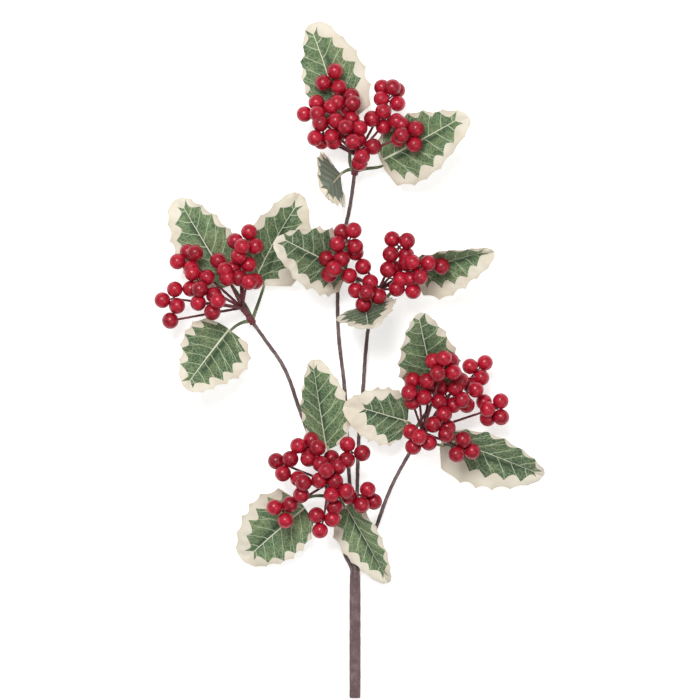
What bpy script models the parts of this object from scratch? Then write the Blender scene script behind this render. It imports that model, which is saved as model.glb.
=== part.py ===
"""An artificial holly spray, laid down on a table with its underside on z = 0.

Five wrapped wire branches are plugged into one wrapped main stem. Each branch carries a head: a moulded
whorl with three petioles, three printed fabric holly leaves, and a pick of twigs ending in bunches of red
berries. Layout tables are in millimetres from the fork, the middle of the main stem's top face, with +Y
along the stem towards the heads and +Z up from the table. The finished spray is moved as one piece so
that the middle of its footprint is the world origin.
"""

import math
import random
from collections import namedtuple

import bmesh
import bpy
from mathutils import Euler, Matrix, Vector
from mathutils.bvhtree import BVHTree
from mathutils.geometry import delaunay_2d_cdt, interpolate_bezier

MM = 0.001
SEED = 20
GAP = 0.3
MERGE = 0.01

# Main stem
STEM_RADIUS = 4.7
STEM_LENGTH = 106.0
STEM_AXIS_HEIGHT = 4.4
STEM_SIDES = 24
SOCKET_RING = 2.95
SOCKET_RADIUS = 1.3
SOCKET_DEPTH = 7.0

# Branches
BRANCH_RADIUS = 1.6
PIN_RADIUS = 1.0
PIN_LENGTH = 6.0
PIN_OVERLAP = 2.0
STRAIGHT_START = 4.0
BRANCH_PAST_COLLAR = 5.5

# Whorls: a sleeve round the branch with one petiole for each leaf
COLLAR_RADIUS = 3.1
COLLAR_BORE = 1.95
COLLAR_LENGTH = 8.0
PETIOLE_RADIUS = 1.4
PETIOLE_GAP = 0.6
PETIOLE_SINK = 0.5
PETIOLE_POINTS = 6

# Berry picks
HEART_REACH = 13.0
HEART_RADIUS = 2.6
TRUNK_RADIUS = 1.6
TWIG_RADIUS = 1.25
TWIG_POINTS = 4
KNOT_SINK = 1.4
BALL_FLATNESS = 0.8
BERRY_FLATNESS = 0.85
BERRY_RADIUS = 7.0
BERRY_CORNERS = 1.1
CROWN_HEIGHT = 56.0
CROWN_FALL = 30.0
HEAD_REACH = 75.0
AXIS_RISE = 86.0
AXIS_SPREAD = 24.0
BERRY_CLEARANCE = 0.6
LIFT_STEP = 1.0
MOST_LIFT = 45.0

# Leaves
LEAF_LENGTH = 90.0
LEAF_HALF_WIDTH = 30.0
LEAF_THICKNESS = 0.7
TABLE_CLEARANCE = 0.05
MIDRIB_STEPS = 7
INNER_STATIONS = (0.22, 0.5, 0.76)
BASE_HALF_WIDTH = 0.1
ARC_STEPS = 24
SPINES = {
    "left": (0.04, 0.19, 0.35, 0.51, 0.67, 0.82, 0.94),
    "right": (0.07, 0.25, 0.42, 0.58, 0.74, 0.89),
}
BLADE_SKEW = 0.7
BLADE_BLUNTNESS = 0.42
SPINE_REACH = 1.04
SCALLOP_DEPTH = 0.12
SPINE_WANDER = 0.012

# Where each leaf grows from and how it lies. base: blade's start (x, y, z); heading and pitch: direction
# of the midrib there, in degrees; bend: how far it droops along its length; sweep: how far it swings
# sideways; roll: turn about the midrib; fold: how far each half rises from flat; size: share of the
# full length and width.
Leaf = namedtuple("Leaf", "name base heading pitch bend sweep roll fold length width")
# A bunch of berries: offset of its middle from the heart (east, north), how many berries, the turn of the
# first one round the twig's end, how far below the dome of the head it hangs, and how far its axis leans
# outwards, in degrees.
Bunch = namedtuple("Bunch", "east north berries turn drop lean", defaults=(0.0, 0.0))
Head = namedtuple("Head", "name socket route leaves bunches")

HEADS = (
    Head(
        "top",
        234.0,
        ((-1.7, 46.8, 4.0), (-5.1, 85.0, 4.0), (-8.7, 155.5, 4.0), (-14.6, 215.0, 4.0),
         (-11.9, 276.0, 6.0), (-4.2, 314.5, 10.0), (0.0, 344.2, 17.0)),
        (
            Leaf("upper", (-5.0, 386.0, 17.0), 107.0, -2.0, 22.0, 6.0, 0.0, 16.0, 1.03, 0.96),
            Leaf("right", (25.0, 349.0, 15.0), 27.0, 36.0, 10.0, 4.0, -8.0, 16.0, 1.06, 1.0),
            Leaf("lower", (-12.8, 340.8, 18.0), 55.0, 92.0, -34.0, 0.0, -30.0, 12.0, 0.86, 0.87),
        ),
        (
            Bunch(-21, 64, 3, -170, 0, -20), Bunch(-9, 46, 3, 70, 0, 40), Bunch(-38, 38, 3, -160, 0, 30),
            Bunch(-29, 19, 3, 100, 0, -10), Bunch(-20, 35, 2, 110, 0, 10), Bunch(-7, 27, 2, 80, 0, 50),
            Bunch(8, 26, 2, 40, 0, 10), Bunch(4, 7, 4, 0, 0, 40), Bunch(2, -7, 1, 0),
            Bunch(26, 30, 3, 120, 0, -50), Bunch(28, 51, 5, 130, 0, 20), Bunch(43, 17, 5, 120, 0, -50),
            Bunch(-9, 40, 1, 0, 12), Bunch(-25, 12, 2, 170, 12, 30), Bunch(-8, 18, 2, 150, 12, 30),
        ),
    ),
    Head(
        "left",
        162.0,
        ((-8.2, 15.9, 5.0), (-21.2, 63.8, 4.0), (-36.5, 110.5, 4.0), (-47.6, 141.1, 5.0),
         (-60.7, 176.4, 8.0), (-76.5, 199.8, 12.0), (-88.7, 216.9, 17.0)),
        (
            Leaf("upper", (-105.4, 247.3, 14.0), 124.0, 4.0, 30.0, 0.0, -9.0, 18.0, 1.0, 0.95),
            Leaf("right", (-77.3, 247.3, 12.5), 74.0, 22.0, 18.0, -12.0, 8.0, 16.0, 0.95, 1.0),
            Leaf("lower", (-106.6, 207.1, 13.0), -127.0, 46.0, 24.0, 4.0, 0.0, 8.0, 0.84, 1.02),
        ),
        (
            Bunch(-46, 42, 4, 20, 0, 20), Bunch(-38, 21, 4, 120, 0, 20), Bunch(-60, 8, 3, 70, 0, -10),
            Bunch(-61, -11, 1, 0), Bunch(-37, 4, 1, 0), Bunch(-23, 4, 3, -120, 0, 60),
            Bunch(3, 56, 4, 70, 0, 20), Bunch(-2, 38, 3, 100, 0, -60), Bunch(-17, 36, 2, 120, 0, 30),
            Bunch(-12, 25, 1, 0), Bunch(5, 23, 3, 30, 0, 70),
        ),
    ),
    Head(
        "centre",
        306.0,
        ((2.1, 80.8, 4.0), (3.4, 118.1, 4.0), (6.8, 157.2, 5.0), (9.3, 191.2, 8.0), (11.9, 212.5, 12.0),
         (17.0, 231.2, 18.0)),
        (
            Leaf("left", (-8.5, 258.8, 22.0), 159.0, 44.0, 12.0, 0.0, 8.0, 16.0, 0.92, 1.0),
            Leaf("right", (50.0, 256.0, 18.0), 17.0, 36.0, 10.0, -4.0, 28.0, 36.0, 0.92, 0.9),
            Leaf("lower", (9.0, 227.2, 20.0), -73.0, 78.0, 6.0, 0.0, 0.0, 10.0, 0.82, 0.9),
        ),
        (
            Bunch(-27, 42, 4, 40), Bunch(-16, 25, 2, 120), Bunch(-39, 20, 4, 130, 0, 40),
            Bunch(-25, 11, 1, 0), Bunch(17, 35, 4, 40, 0, -20), Bunch(35, 18, 3, 30), Bunch(53, 19, 1, 0),
            Bunch(13, 14, 3, 60, 0, 60), Bunch(22, -1, 2, 170, 0, -10), Bunch(-10, -4, 5, 70),
            Bunch(25, 15, 2, 110, 12),
        ),
    ),
    Head(
        "right",
        18.0,
        ((6.0, 14.0, 5.0), (15.6, 34.0, 5.0), (29.8, 71.7, 8.0), (44.8, 100.3, 13.0),
         (51.0, 110.5, 16.0)),
        (
            Leaf("upper", (67.0, 155.5, 22.0), 100.0, 40.0, 8.0, 0.0, 0.0, 16.0, 0.95, 0.93),
            Leaf("left", (43.9, 130.0, 22.0), 166.0, 20.0, 26.0, 0.0, 0.0, 14.0, 0.62, 0.86),
            Leaf("lower", (73.0, 110.0, 15.0), -15.0, 8.0, 36.0, -4.0, 22.0, 18.0, 1.05, 0.9),
        ),
        (
            Bunch(17, 56, 5, 140, 0, 20), Bunch(-4, 38, 4, 30), Bunch(-9, 26, 1, 0),
            Bunch(21, 31, 4, 40, 0, -10), Bunch(43, 38, 2, 60, 0, 70), Bunch(35, 26, 2, 10, 0, 70),
            Bunch(48, 54, 3, 40), Bunch(60, 20, 5, 140, 0, -50), Bunch(17, 6, 4, 90, 0, 40),
            Bunch(-4, -6, 4, 60, 0, 50), Bunch(35, -14, 3, 100, 0, 10), Bunch(7, 39, 1, 0, 12),
            Bunch(32, 44, 1, 0, 12),
        ),
    ),
    Head(
        "bottom",
        90.0,
        ((-2.4, 16.0, 9.0), (-6.0, 28.0, 10.0), (-11.0, 46.8, 12.0), (-17.8, 66.3, 16.0)),
        (
            Leaf("upper", (-22.9, 107.1, 15.0), 99.0, 6.0, 18.0, 0.0, 14.0, 30.0, 0.86, 0.84),
            Leaf("left", (-46.5, 61.0, 14.0), -136.0, 4.0, 40.0, 4.0, 0.0, 12.0, 0.82, 1.02),
            Leaf("right", (-9.0, 58.0, 18.0), -59.0, 6.0, 22.0, -2.0, 24.0, 26.0, 0.84, 0.72),
        ),
        (
            Bunch(-17, 30, 4, 170, 0, 20), Bunch(-39, 16, 3, 30, 0, 20), Bunch(-24, -2, 3, 20, 0, 60),
            Bunch(-39, -24, 3, 40, 0, -20), Bunch(-5, -33, 3, -110), Bunch(3, -15, 2, 100, 0, 30),
            Bunch(33, -13, 3, -140, 0, 30), Bunch(16, -9, 2, 140, 0, 60), Bunch(20, 26, 3, 120, 0, -10),
            Bunch(-1, 9, 5, -140, 0, 10), Bunch(-17, 25, 1, 0, 12), Bunch(2, 21, 1, 0, 12),
        ),
    ),
)


def clear_scene():
    """Remove whatever the startup scene holds."""
    for obj in list(bpy.data.objects):
        bpy.data.objects.remove(obj, do_unlink=True)


def new_collection(name):
    """Return a new collection linked to the scene."""
    made = bpy.data.collections.new(name)
    bpy.context.scene.collection.children.link(made)
    return made


def new_material(name, colour, roughness):
    """Return a Principled material of one colour."""
    material = bpy.data.materials.new(name)
    material.use_nodes = True
    shader = material.node_tree.nodes["Principled BSDF"]
    shader.inputs["Base Color"].default_value = (*colour, 1.0)
    shader.inputs["Roughness"].default_value = roughness
    shader.inputs["Metallic"].default_value = 0.0
    material.diffuse_color = (*colour, 1.0)
    return material


def link_mesh(name, mesh, collection, material=None):
    """Return an object for the mesh, in the collection and with the material."""
    obj = bpy.data.objects.new(name, mesh)
    collection.objects.link(obj)
    if material:
        mesh.materials.clear()
        mesh.materials.append(material)
    return obj


def mesh_from(name, bm):
    """Return a mesh holding what was built in bm."""
    mesh = bpy.data.meshes.new(name)
    bmesh.ops.recalc_face_normals(bm, faces=bm.faces)
    bm.to_mesh(mesh)
    bm.free()
    return mesh


def tube(name, points, radii, collection, resolution=2, smooth_steps=0, material=None):
    """Return a closed tube along points in millimetres, as a mesh object.

    resolution 0, 1 and 2 give 4, 6 and 8 sides. With smooth_steps the points are joined by an automatic
    Bezier curve cut into that many pieces between points.
    """
    curve = bpy.data.curves.new(name, "CURVE")
    curve.dimensions = "3D"
    curve.bevel_depth = 1.0 * MM
    curve.bevel_resolution = resolution
    curve.use_fill_caps = True
    if smooth_steps:
        spline = curve.splines.new("BEZIER")
        spline.bezier_points.add(len(points) - 1)
        curve.resolution_u = smooth_steps
        for knot, point, radius in zip(spline.bezier_points, points, radii):
            knot.co = Vector(point) * MM
            knot.radius = radius
            knot.handle_left_type = knot.handle_right_type = "AUTO"
    else:
        spline = curve.splines.new("POLY")
        spline.points.add(len(points) - 1)
        for knot, point, radius in zip(spline.points, points, radii):
            knot.co = (*(Vector(point) * MM), 1.0)
            knot.radius = radius
    guide = bpy.data.objects.new(name + "_guide", curve)
    collection.objects.link(guide)
    graph = bpy.context.evaluated_depsgraph_get()
    mesh = bpy.data.meshes.new_from_object(guide.evaluated_get(graph))
    bpy.data.objects.remove(guide, do_unlink=True)
    bm = bmesh.new()
    bm.from_mesh(mesh)
    bmesh.ops.remove_doubles(bm, verts=bm.verts, dist=MERGE * MM)
    bmesh.ops.recalc_face_normals(bm, faces=bm.faces)
    bm.to_mesh(mesh)
    bm.free()
    return link_mesh(name, mesh, collection, material)


def rod(name, start, end, radius, collection, sides=12):
    """Return a closed cylinder from start to end, in millimetres."""
    start, end = Vector(start) * MM, Vector(end) * MM
    along = end - start
    bm = bmesh.new()
    bmesh.ops.create_cone(bm, cap_ends=True, segments=sides, radius1=radius * MM, radius2=radius * MM,
                          depth=along.length)
    turn = along.to_track_quat("Z", "Y").to_matrix().to_4x4()
    bmesh.ops.transform(bm, matrix=Matrix.Translation((start + end) / 2) @ turn, verts=bm.verts)
    return link_mesh(name, mesh_from(name, bm), collection)


def ball(name, centre, radius, collection, turn):
    """Return a ball of twenty facets whose corners lie at the radius, in millimetres."""
    bm = bmesh.new()
    bmesh.ops.create_icosphere(bm, subdivisions=1, radius=radius * MM)
    bmesh.ops.transform(bm, matrix=Matrix.Translation(Vector(centre) * MM) @ turn, verts=bm.verts)
    return link_mesh(name, mesh_from(name, bm), collection)


def apply_modifiers(obj):
    """Replace the object's mesh by what its modifiers make of it."""
    graph = bpy.context.evaluated_depsgraph_get()
    mesh = bpy.data.meshes.new_from_object(obj.evaluated_get(graph))
    obj.modifiers.clear()
    obj.data = mesh


def join_all(obj, others):
    """Union a collection of solids into obj and remove the collection with its objects."""
    modifier = obj.modifiers.new("join", "BOOLEAN")
    modifier.operation = "UNION"
    modifier.operand_type = "COLLECTION"
    modifier.collection = others
    modifier.solver = "MANIFOLD"
    apply_modifiers(obj)
    for piece in list(others.objects):
        bpy.data.objects.remove(piece, do_unlink=True)
    bpy.data.collections.remove(others)


def cut_away(obj, cutter):
    """Subtract a cutter that stays in the file, hidden from renders."""
    cutter.hide_render = True
    cutter.display_type = "WIRE"
    modifier = obj.modifiers.new("cut_" + cutter.name, "BOOLEAN")
    modifier.operation = "DIFFERENCE"
    modifier.object = cutter


def direction(heading, pitch):
    """Return the unit vector at a heading in plan and a pitch above the table, both in degrees."""
    heading, pitch = math.radians(heading), math.radians(pitch)
    return Vector((math.cos(pitch) * math.cos(heading), math.cos(pitch) * math.sin(heading), math.sin(pitch)))


def socket_centre(head):
    """Return where the head's branch leaves the main stem's top face."""
    angle = math.radians(head.socket)
    return Vector((SOCKET_RING * math.cos(angle), 0.0, STEM_AXIS_HEIGHT + SOCKET_RING * math.sin(angle)))


def collar_frame(head):
    """Return the middle of the head's collar and the branch's direction there."""
    before, last = Vector(head.route[-2]), Vector(head.route[-1])
    return last, (last - before).normalized()


def half_width(share):
    """Return the blade's half width, as a share of the widest, at a share of its length."""
    return math.sin(math.pi * share**BLADE_SKEW) ** BLADE_BLUNTNESS if 0.0 < share < 1.0 else 0.0


def cut_outline(draw):
    """Return the blade's cut edge as (along, across) shares, from its base round to its base.

    Shallow scallops run between small spines whose places wander a little from leaf to leaf.
    """
    sides = []
    for sign, spines in ((1.0, SPINES["left"]), (-1.0, SPINES["right"])):
        stations = [share + draw.uniform(-SPINE_WANDER, SPINE_WANDER) for share in spines]
        edge = []
        for here, after in zip(stations, [*stations[1:], 1.0]):
            hollow = (here + after) / 2
            edge.append((here, sign * half_width(here) * SPINE_REACH))
            edge.append((hollow, sign * half_width(hollow) * (1.0 - SCALLOP_DEPTH)))
        sides.append(edge)
    return [(0.0, BASE_HALF_WIDTH), *sides[0], (1.0, 0.0), *reversed(sides[1]), (0.0, -BASE_HALF_WIDTH)]


def leaf_frames(leaf):
    """Return the midrib's points and its (forward, side, up) axes at ARC_STEPS + 1 stations."""
    frames = []
    point = Vector(leaf.base)
    step = LEAF_LENGTH * leaf.length / ARC_STEPS
    for index in range(ARC_STEPS + 1):
        share = index / ARC_STEPS
        heading = leaf.heading + leaf.sweep * share
        pitch = leaf.pitch - leaf.bend * share
        forward = direction(heading, pitch)
        level = direction(heading + 90.0, 0.0)
        side = Matrix.Rotation(math.radians(leaf.roll), 3, forward) @ level
        frames.append((point.copy(), forward, side, forward.cross(side)))
        point += forward * step
    return frames


def on_blade(leaf, frames, along, across):
    """Return the point of the blade's middle surface at shares of its length and half width."""
    place = min(max(along, 0.0), 1.0) * ARC_STEPS
    index = min(int(place), ARC_STEPS - 1)
    point, forward, side, up = (a.lerp(b, place - index) for a, b in zip(frames[index], frames[index + 1]))
    reach = abs(across) * LEAF_HALF_WIDTH * leaf.width
    rise = math.radians(leaf.fold)
    where = point + side * math.copysign(reach * math.cos(rise), across) + up * reach * math.sin(rise)
    where.z = max(where.z, LEAF_THICKNESS / 2 + TABLE_CLEARANCE)
    return where


def build_blade(name, leaf, draw, collection, material):
    """Build one leaf: a triangulated open surface folded along its midrib, thickened to a sheet."""
    outline = cut_outline(draw)
    ribs = [(step / MIDRIB_STEPS, 0.0) for step in range(1, MIDRIB_STEPS)]
    inner = [(share, side * half_width(share) / 2) for share in INNER_STATIONS for side in (1.0, -1.0)]
    tip = outline.index((1.0, 0.0))
    count = len(outline)
    rib_line = [*range(count, count + len(ribs)), tip]
    edges = list(zip(rib_line, rib_line[1:]))
    flat = [Vector(point) for point in (*outline, *ribs, *inner)]
    points, _, faces, *_ = delaunay_2d_cdt(flat, edges, [list(range(count))], 1, 1e-6)
    frames = leaf_frames(leaf)
    bm = bmesh.new()
    corners = [bm.verts.new(on_blade(leaf, frames, *point) * MM) for point in points]
    for face in faces:
        bm.faces.new([corners[index] for index in face])
    blade = link_mesh(name, mesh_from(name, bm), collection, material)
    sheet = blade.modifiers.new("sheet", "SOLIDIFY")
    sheet.thickness = LEAF_THICKNESS * MM
    sheet.offset = 0.0
    sheet.use_even_offset = True
    sheet.use_quality_normals = True
    return blade


def build_main_stem(collection, cutters, material):
    """Build the wrapped stem with a flat along its underside and a socket for each branch."""
    stem = rod("main_stem", (0, -STEM_LENGTH, STEM_AXIS_HEIGHT), (0, 0, STEM_AXIS_HEIGHT), STEM_RADIUS,
               collection, STEM_SIDES)
    stem.data.materials.append(material)
    below = bmesh.new()
    bmesh.ops.create_cube(below, size=2 * STEM_LENGTH * MM)
    bmesh.ops.translate(below, vec=Vector((0, -STEM_LENGTH / 2, -STEM_LENGTH)) * MM, verts=below.verts)
    cut_away(stem, link_mesh("flat_cutter", mesh_from("flat_cutter", below), cutters))
    for head in HEADS:
        mouth = socket_centre(head)
        depth = Vector((0, SOCKET_DEPTH, 0))
        socket = rod(head.name + "_socket_cutter", mouth - depth, mouth + depth, SOCKET_RADIUS, cutters)
        cut_away(stem, socket)
    return stem


def build_branch(head, collection, material):
    """Build one wrapped wire branch with the bare pin that plugs into the main stem."""
    mouth = socket_centre(head)
    collar, forward = collar_frame(head)
    start = mouth + Vector((0, GAP, 0))
    points = [start, start + Vector((0, STRAIGHT_START, 0)), *map(Vector, head.route),
              collar + forward * BRANCH_PAST_COLLAR]
    name = f"{head.name}_branch"
    branch = tube(name, points, [BRANCH_RADIUS] * len(points), collection, 2, 2, material)
    pins = new_collection(name + "_pins")
    pin_end = start + Vector((0, PIN_OVERLAP, 0))
    rod(name + "_pin", mouth - Vector((0, PIN_LENGTH, 0)), pin_end, PIN_RADIUS, pins, 8)
    join_all(branch, pins)
    return branch


def petiole_points(head, leaf):
    """Return the petiole's points from inside the collar to just short of the blade."""
    collar, forward = collar_frame(head)
    growth = direction(leaf.heading, leaf.pitch)
    end = Vector(leaf.base) - growth * PETIOLE_GAP
    spread = (end - collar).length
    aside = (end - collar) - forward * (end - collar).dot(forward)
    start = collar + aside.normalized() * (COLLAR_BORE + PETIOLE_SINK)
    knee = start + (aside.normalized() * 0.6 + forward * 0.4) * spread * 0.4
    return interpolate_bezier(start, knee, end - growth * spread * 0.35, end, PETIOLE_POINTS)


def build_whorl(head, collection, cutters, material):
    """Build the moulded sleeve with its three petioles, bored through for the branch."""
    collar, forward = collar_frame(head)
    half = forward * COLLAR_LENGTH / 2
    name = f"{head.name}_whorl"
    whorl = rod(name, collar - half, collar + half, COLLAR_RADIUS, collection)
    whorl.data.materials.append(material)
    petioles = new_collection(name + "_petioles")
    for leaf in head.leaves:
        points = petiole_points(head, leaf)
        radii = [PETIOLE_RADIUS] * len(points)
        tube(f"{name}_{leaf.name}", points, radii, petioles, 0)
    join_all(whorl, petioles)
    cut_away(whorl, rod(name + "_bore", collar - half * 2, collar + half * 2, COLLAR_BORE, cutters))
    apply_modifiers(whorl)
    return whorl


def bunch_ring(count):
    """Return the berries' places round a twig's end as (radius, turn in degrees, rise), in berry radii."""
    if count == 1:
        return [(0.0, 0.0, 0.0)]
    if count == 5:
        return [(1.42, 90.0 * place, 0.0) for place in range(4)] + [(0.2, 0.0, 1.35)]
    radius = {2: 1.0, 3: 1.16, 4: 1.29}[count]
    wave = 0.42 if count == 4 else 0.0
    return [(radius, 360.0 * place / count, wave * (-1) ** place) for place in range(count)]


def bunch_berries(middle, axis, bunch, draw):
    """Return the centres of a bunch's berries, set round an axis that points out of the head."""
    heading = math.atan2(bunch.north, bunch.east)
    level = direction(math.degrees(heading) + 90.0, 0.0)
    outward = level.cross(axis)
    centres = []
    for radius, angle, rise in bunch_ring(bunch.berries):
        angle = math.radians(angle + bunch.turn + draw.uniform(-8.0, 8.0)) - heading
        offset = outward * radius * math.cos(angle) + level * radius * math.sin(angle) + axis * rise
        centres.append(middle + offset * BERRY_RADIUS)
    return centres


def settle_bunch(heart, bunch, draw, blades):
    """Return a bunch's middle and berry centres, lifted until it clears the leaves below."""
    reach = math.hypot(bunch.east, bunch.north) / HEAD_REACH
    height = CROWN_HEIGHT - CROWN_FALL * reach**1.5 - bunch.drop
    heading = math.degrees(math.atan2(bunch.north, bunch.east))
    axis = direction(heading, AXIS_RISE - AXIS_SPREAD * reach - bunch.lean)
    middle = Vector((heart.x + bunch.east, heart.y + bunch.north, height))
    centres = bunch_berries(middle, axis, bunch, draw)
    lift = 0.0
    while lift < MOST_LIFT:
        rise = Vector((0, 0, lift))
        gaps = [blades.find_nearest((centre + rise) * MM)[3] / MM for centre in centres]
        if min(gaps) > BERRY_RADIUS + LEAF_THICKNESS / 2 + BERRY_CLEARANCE:
            break
        lift += LIFT_STEP
    return middle + rise, [centre + rise for centre in centres]


def build_berries(head, number, blades, collection, material):
    """Build a pick: a trunk on the branch's tip, a twig to each bunch, and the berries on their stalks."""
    draw = random.Random(SEED + number)
    collar, forward = collar_frame(head)
    heart = collar + forward * HEART_REACH
    name = f"{head.name}_berries"
    pick = rod(name, collar + forward * (BRANCH_PAST_COLLAR + GAP), heart, TRUNK_RADIUS, collection, 8)
    pick.data.materials.append(material)
    growth = new_collection(name + "_growth")
    ball(name + "_heart", heart, HEART_RADIUS, growth, Matrix())
    for place, bunch in enumerate(head.bunches):
        middle, centres = settle_bunch(heart, bunch, draw, blades)
        spread = max((centre - middle).length for centre in centres)
        rise = Vector((0, 0, middle.z - heart.z))
        across = Vector((bunch.east, bunch.north, 0))
        points = interpolate_bezier(heart, heart + rise * 0.6 + across * 0.15,
                                    heart + rise * 0.9 + across * 0.6, middle, TWIG_POINTS)
        tube(f"{name}_twig_{place}", points, [TWIG_RADIUS] * TWIG_POINTS, growth, 0)
        if bunch.berries > 1:
            knot = spread - BERRY_RADIUS * BERRY_FLATNESS + KNOT_SINK
            ball(f"{name}_knot_{place}", middle, knot / BALL_FLATNESS, growth, Matrix())
        for order, centre in enumerate(centres):
            turn = Euler([draw.uniform(0.0, math.tau) for _ in range(3)]).to_matrix().to_4x4()
            ball(f"{name}_{place}_{order}", centre, BERRY_RADIUS * BERRY_CORNERS, growth, turn)
    join_all(pick, growth)
    return pick


def blade_tree(blades):
    """Return one search tree over the middle surfaces of all blades."""
    points, faces = [], []
    for blade in blades:
        first = len(points)
        points += [vertex.co.copy() for vertex in blade.data.vertices]
        faces += [[first + index for index in face.vertices] for face in blade.data.polygons]
    return BVHTree.FromPolygons(points, faces)


def centre_footprint(collection):
    """Parent everything to an empty that puts the footprint's middle on the world origin."""
    bpy.context.view_layer.update()
    graph = bpy.context.evaluated_depsgraph_get()
    corners = []
    for obj in collection.objects:
        evaluated = obj.evaluated_get(graph)
        mesh = evaluated.to_mesh()
        corners += [evaluated.matrix_world @ vertex.co for vertex in mesh.vertices]
        evaluated.to_mesh_clear()
    lows = [min(corner[axis] for corner in corners) for axis in range(2)]
    highs = [max(corner[axis] for corner in corners) for axis in range(2)]
    fork = bpy.data.objects.new("fork", None)
    collection.objects.link(fork)
    fork.location = (-(lows[0] + highs[0]) / 2, -(lows[1] + highs[1]) / 2, 0.0)
    for obj in bpy.data.objects:
        if obj is not fork:
            obj.parent = fork
    print("fork at", [round(value, 6) for value in fork.location])


def main():
    """Build the spray."""
    clear_scene()
    spray = new_collection("holly_spray")
    cutters = new_collection("cutters")
    bark = new_material("wrapped_bark", (0.15, 0.095, 0.098), 0.85)
    twig_green = new_material("moulded_green", (0.13, 0.23, 0.08), 0.5)
    leaf_green = new_material("printed_fabric", (0.10, 0.19, 0.09), 0.6)
    berry_red = new_material("lacquered_red", (0.5, 0.01, 0.03), 0.12)
    build_main_stem(spray, cutters, bark)
    blades = []
    for number, head in enumerate(HEADS):
        build_branch(head, spray, bark)
        build_whorl(head, spray, cutters, twig_green)
        for order, leaf in enumerate(head.leaves):
            draw = random.Random(SEED + 10 * number + order)
            blades.append(build_blade(f"{head.name}_leaf_{leaf.name}", leaf, draw, spray, leaf_green))
    tree = blade_tree(blades)
    for number, head in enumerate(HEADS):
        build_berries(head, number, tree, spray, berry_red)
    centre_footprint(spray)


main()
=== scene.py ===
"""Looks of an artificial holly spray, laid on a pale table and seen from above.

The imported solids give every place. Fine pieces stand for them: cloth leaves cut with small spines round an
off-register green print, lacquered beads on taped twigs, moulded green whorls, and branches and a main stem
wound in paper tape. Layout values are in millimetres from the fork, the middle of the main stem's top face,
with +Y towards the heads and +Z up from the table.
"""

import logging
import math
import random
from collections.abc import Sequence
from dataclasses import dataclass
from enum import Enum

import bmesh
import bpy
import numpy as np
from bpy.types import Material, Mesh, Node, NodeSocket, NodeTree, Object
from mathutils import Matrix, Vector, noise
from mathutils.bvhtree import BVHTree
from mathutils.geometry import delaunay_2d_cdt, interpolate_bezier


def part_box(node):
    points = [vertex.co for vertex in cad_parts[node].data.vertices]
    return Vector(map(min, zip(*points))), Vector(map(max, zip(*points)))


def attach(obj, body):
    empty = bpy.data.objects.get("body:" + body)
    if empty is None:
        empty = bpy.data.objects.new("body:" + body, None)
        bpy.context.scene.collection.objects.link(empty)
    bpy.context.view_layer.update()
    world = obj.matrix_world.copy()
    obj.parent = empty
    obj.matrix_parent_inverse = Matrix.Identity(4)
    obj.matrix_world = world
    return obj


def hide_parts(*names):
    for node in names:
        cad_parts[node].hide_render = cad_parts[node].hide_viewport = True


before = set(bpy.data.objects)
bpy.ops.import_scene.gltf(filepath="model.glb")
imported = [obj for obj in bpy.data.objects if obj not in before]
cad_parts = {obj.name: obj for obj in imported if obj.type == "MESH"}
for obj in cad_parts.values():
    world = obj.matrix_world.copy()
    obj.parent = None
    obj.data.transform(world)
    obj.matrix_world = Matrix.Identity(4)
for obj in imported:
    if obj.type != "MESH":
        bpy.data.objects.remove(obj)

LOG = logging.getLogger("holly_spray")
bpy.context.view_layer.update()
MM = 0.001
SEED = 20
BODY = "root"

Colour = tuple[float, float, float, float]
Point = tuple[float, float, float]
Pair = tuple[float, float]
Strand = tuple[list[Vector], list[float]]


# Layout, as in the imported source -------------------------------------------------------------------


@dataclass(frozen=True)
class PrintPlan:
    """Where the green print lies on a leaf.

    Its base and tip are (along, across), reach is its half width, the next field gives how far across the
    painted shade of the moulded fold lies, and shade how much darker its whole green is made.
    """

    base: Pair = (0.0, 0.0)
    tip: Pair = (0.93, 0.0)
    reach: float = 0.86
    crease_shade: float = 0.0
    shade: float = 0.0


@dataclass(frozen=True)
class LeafPlan:
    """One leaf: its base, the midrib's direction there, and how it bends, turns and folds."""

    name: str
    base: Point
    heading: float
    pitch: float
    bend: float
    sweep: float
    roll: float
    fold: float
    length: float
    width: float
    print: PrintPlan


@dataclass(frozen=True)
class BunchPlan:
    """One bunch: its middle from the heart, its berries, their turn, its drop below the dome and its lean."""

    east: float
    north: float
    berries: int
    turn: float
    drop: float = 0.0
    lean: float = 0.0


@dataclass(frozen=True)
class HeadPlan:
    """One head: its socket's angle in the stem, its branch's route, its leaves and its bunches."""

    name: str
    socket: float
    route: tuple[Point, ...]
    leaves: tuple[LeafPlan, ...]
    bunches: tuple[BunchPlan, ...]

    def collar(self) -> tuple[Vector, Vector]:
        """Return the middle of the collar and the branch's direction there."""
        before, last = map(Vector, self.route[-2:])
        return last, (last - before).normalized()


def bunches(*rows: tuple) -> tuple[BunchPlan, ...]:
    """Return a bunch for each row of its values."""
    return tuple(BunchPlan(*row) for row in rows)


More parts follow.
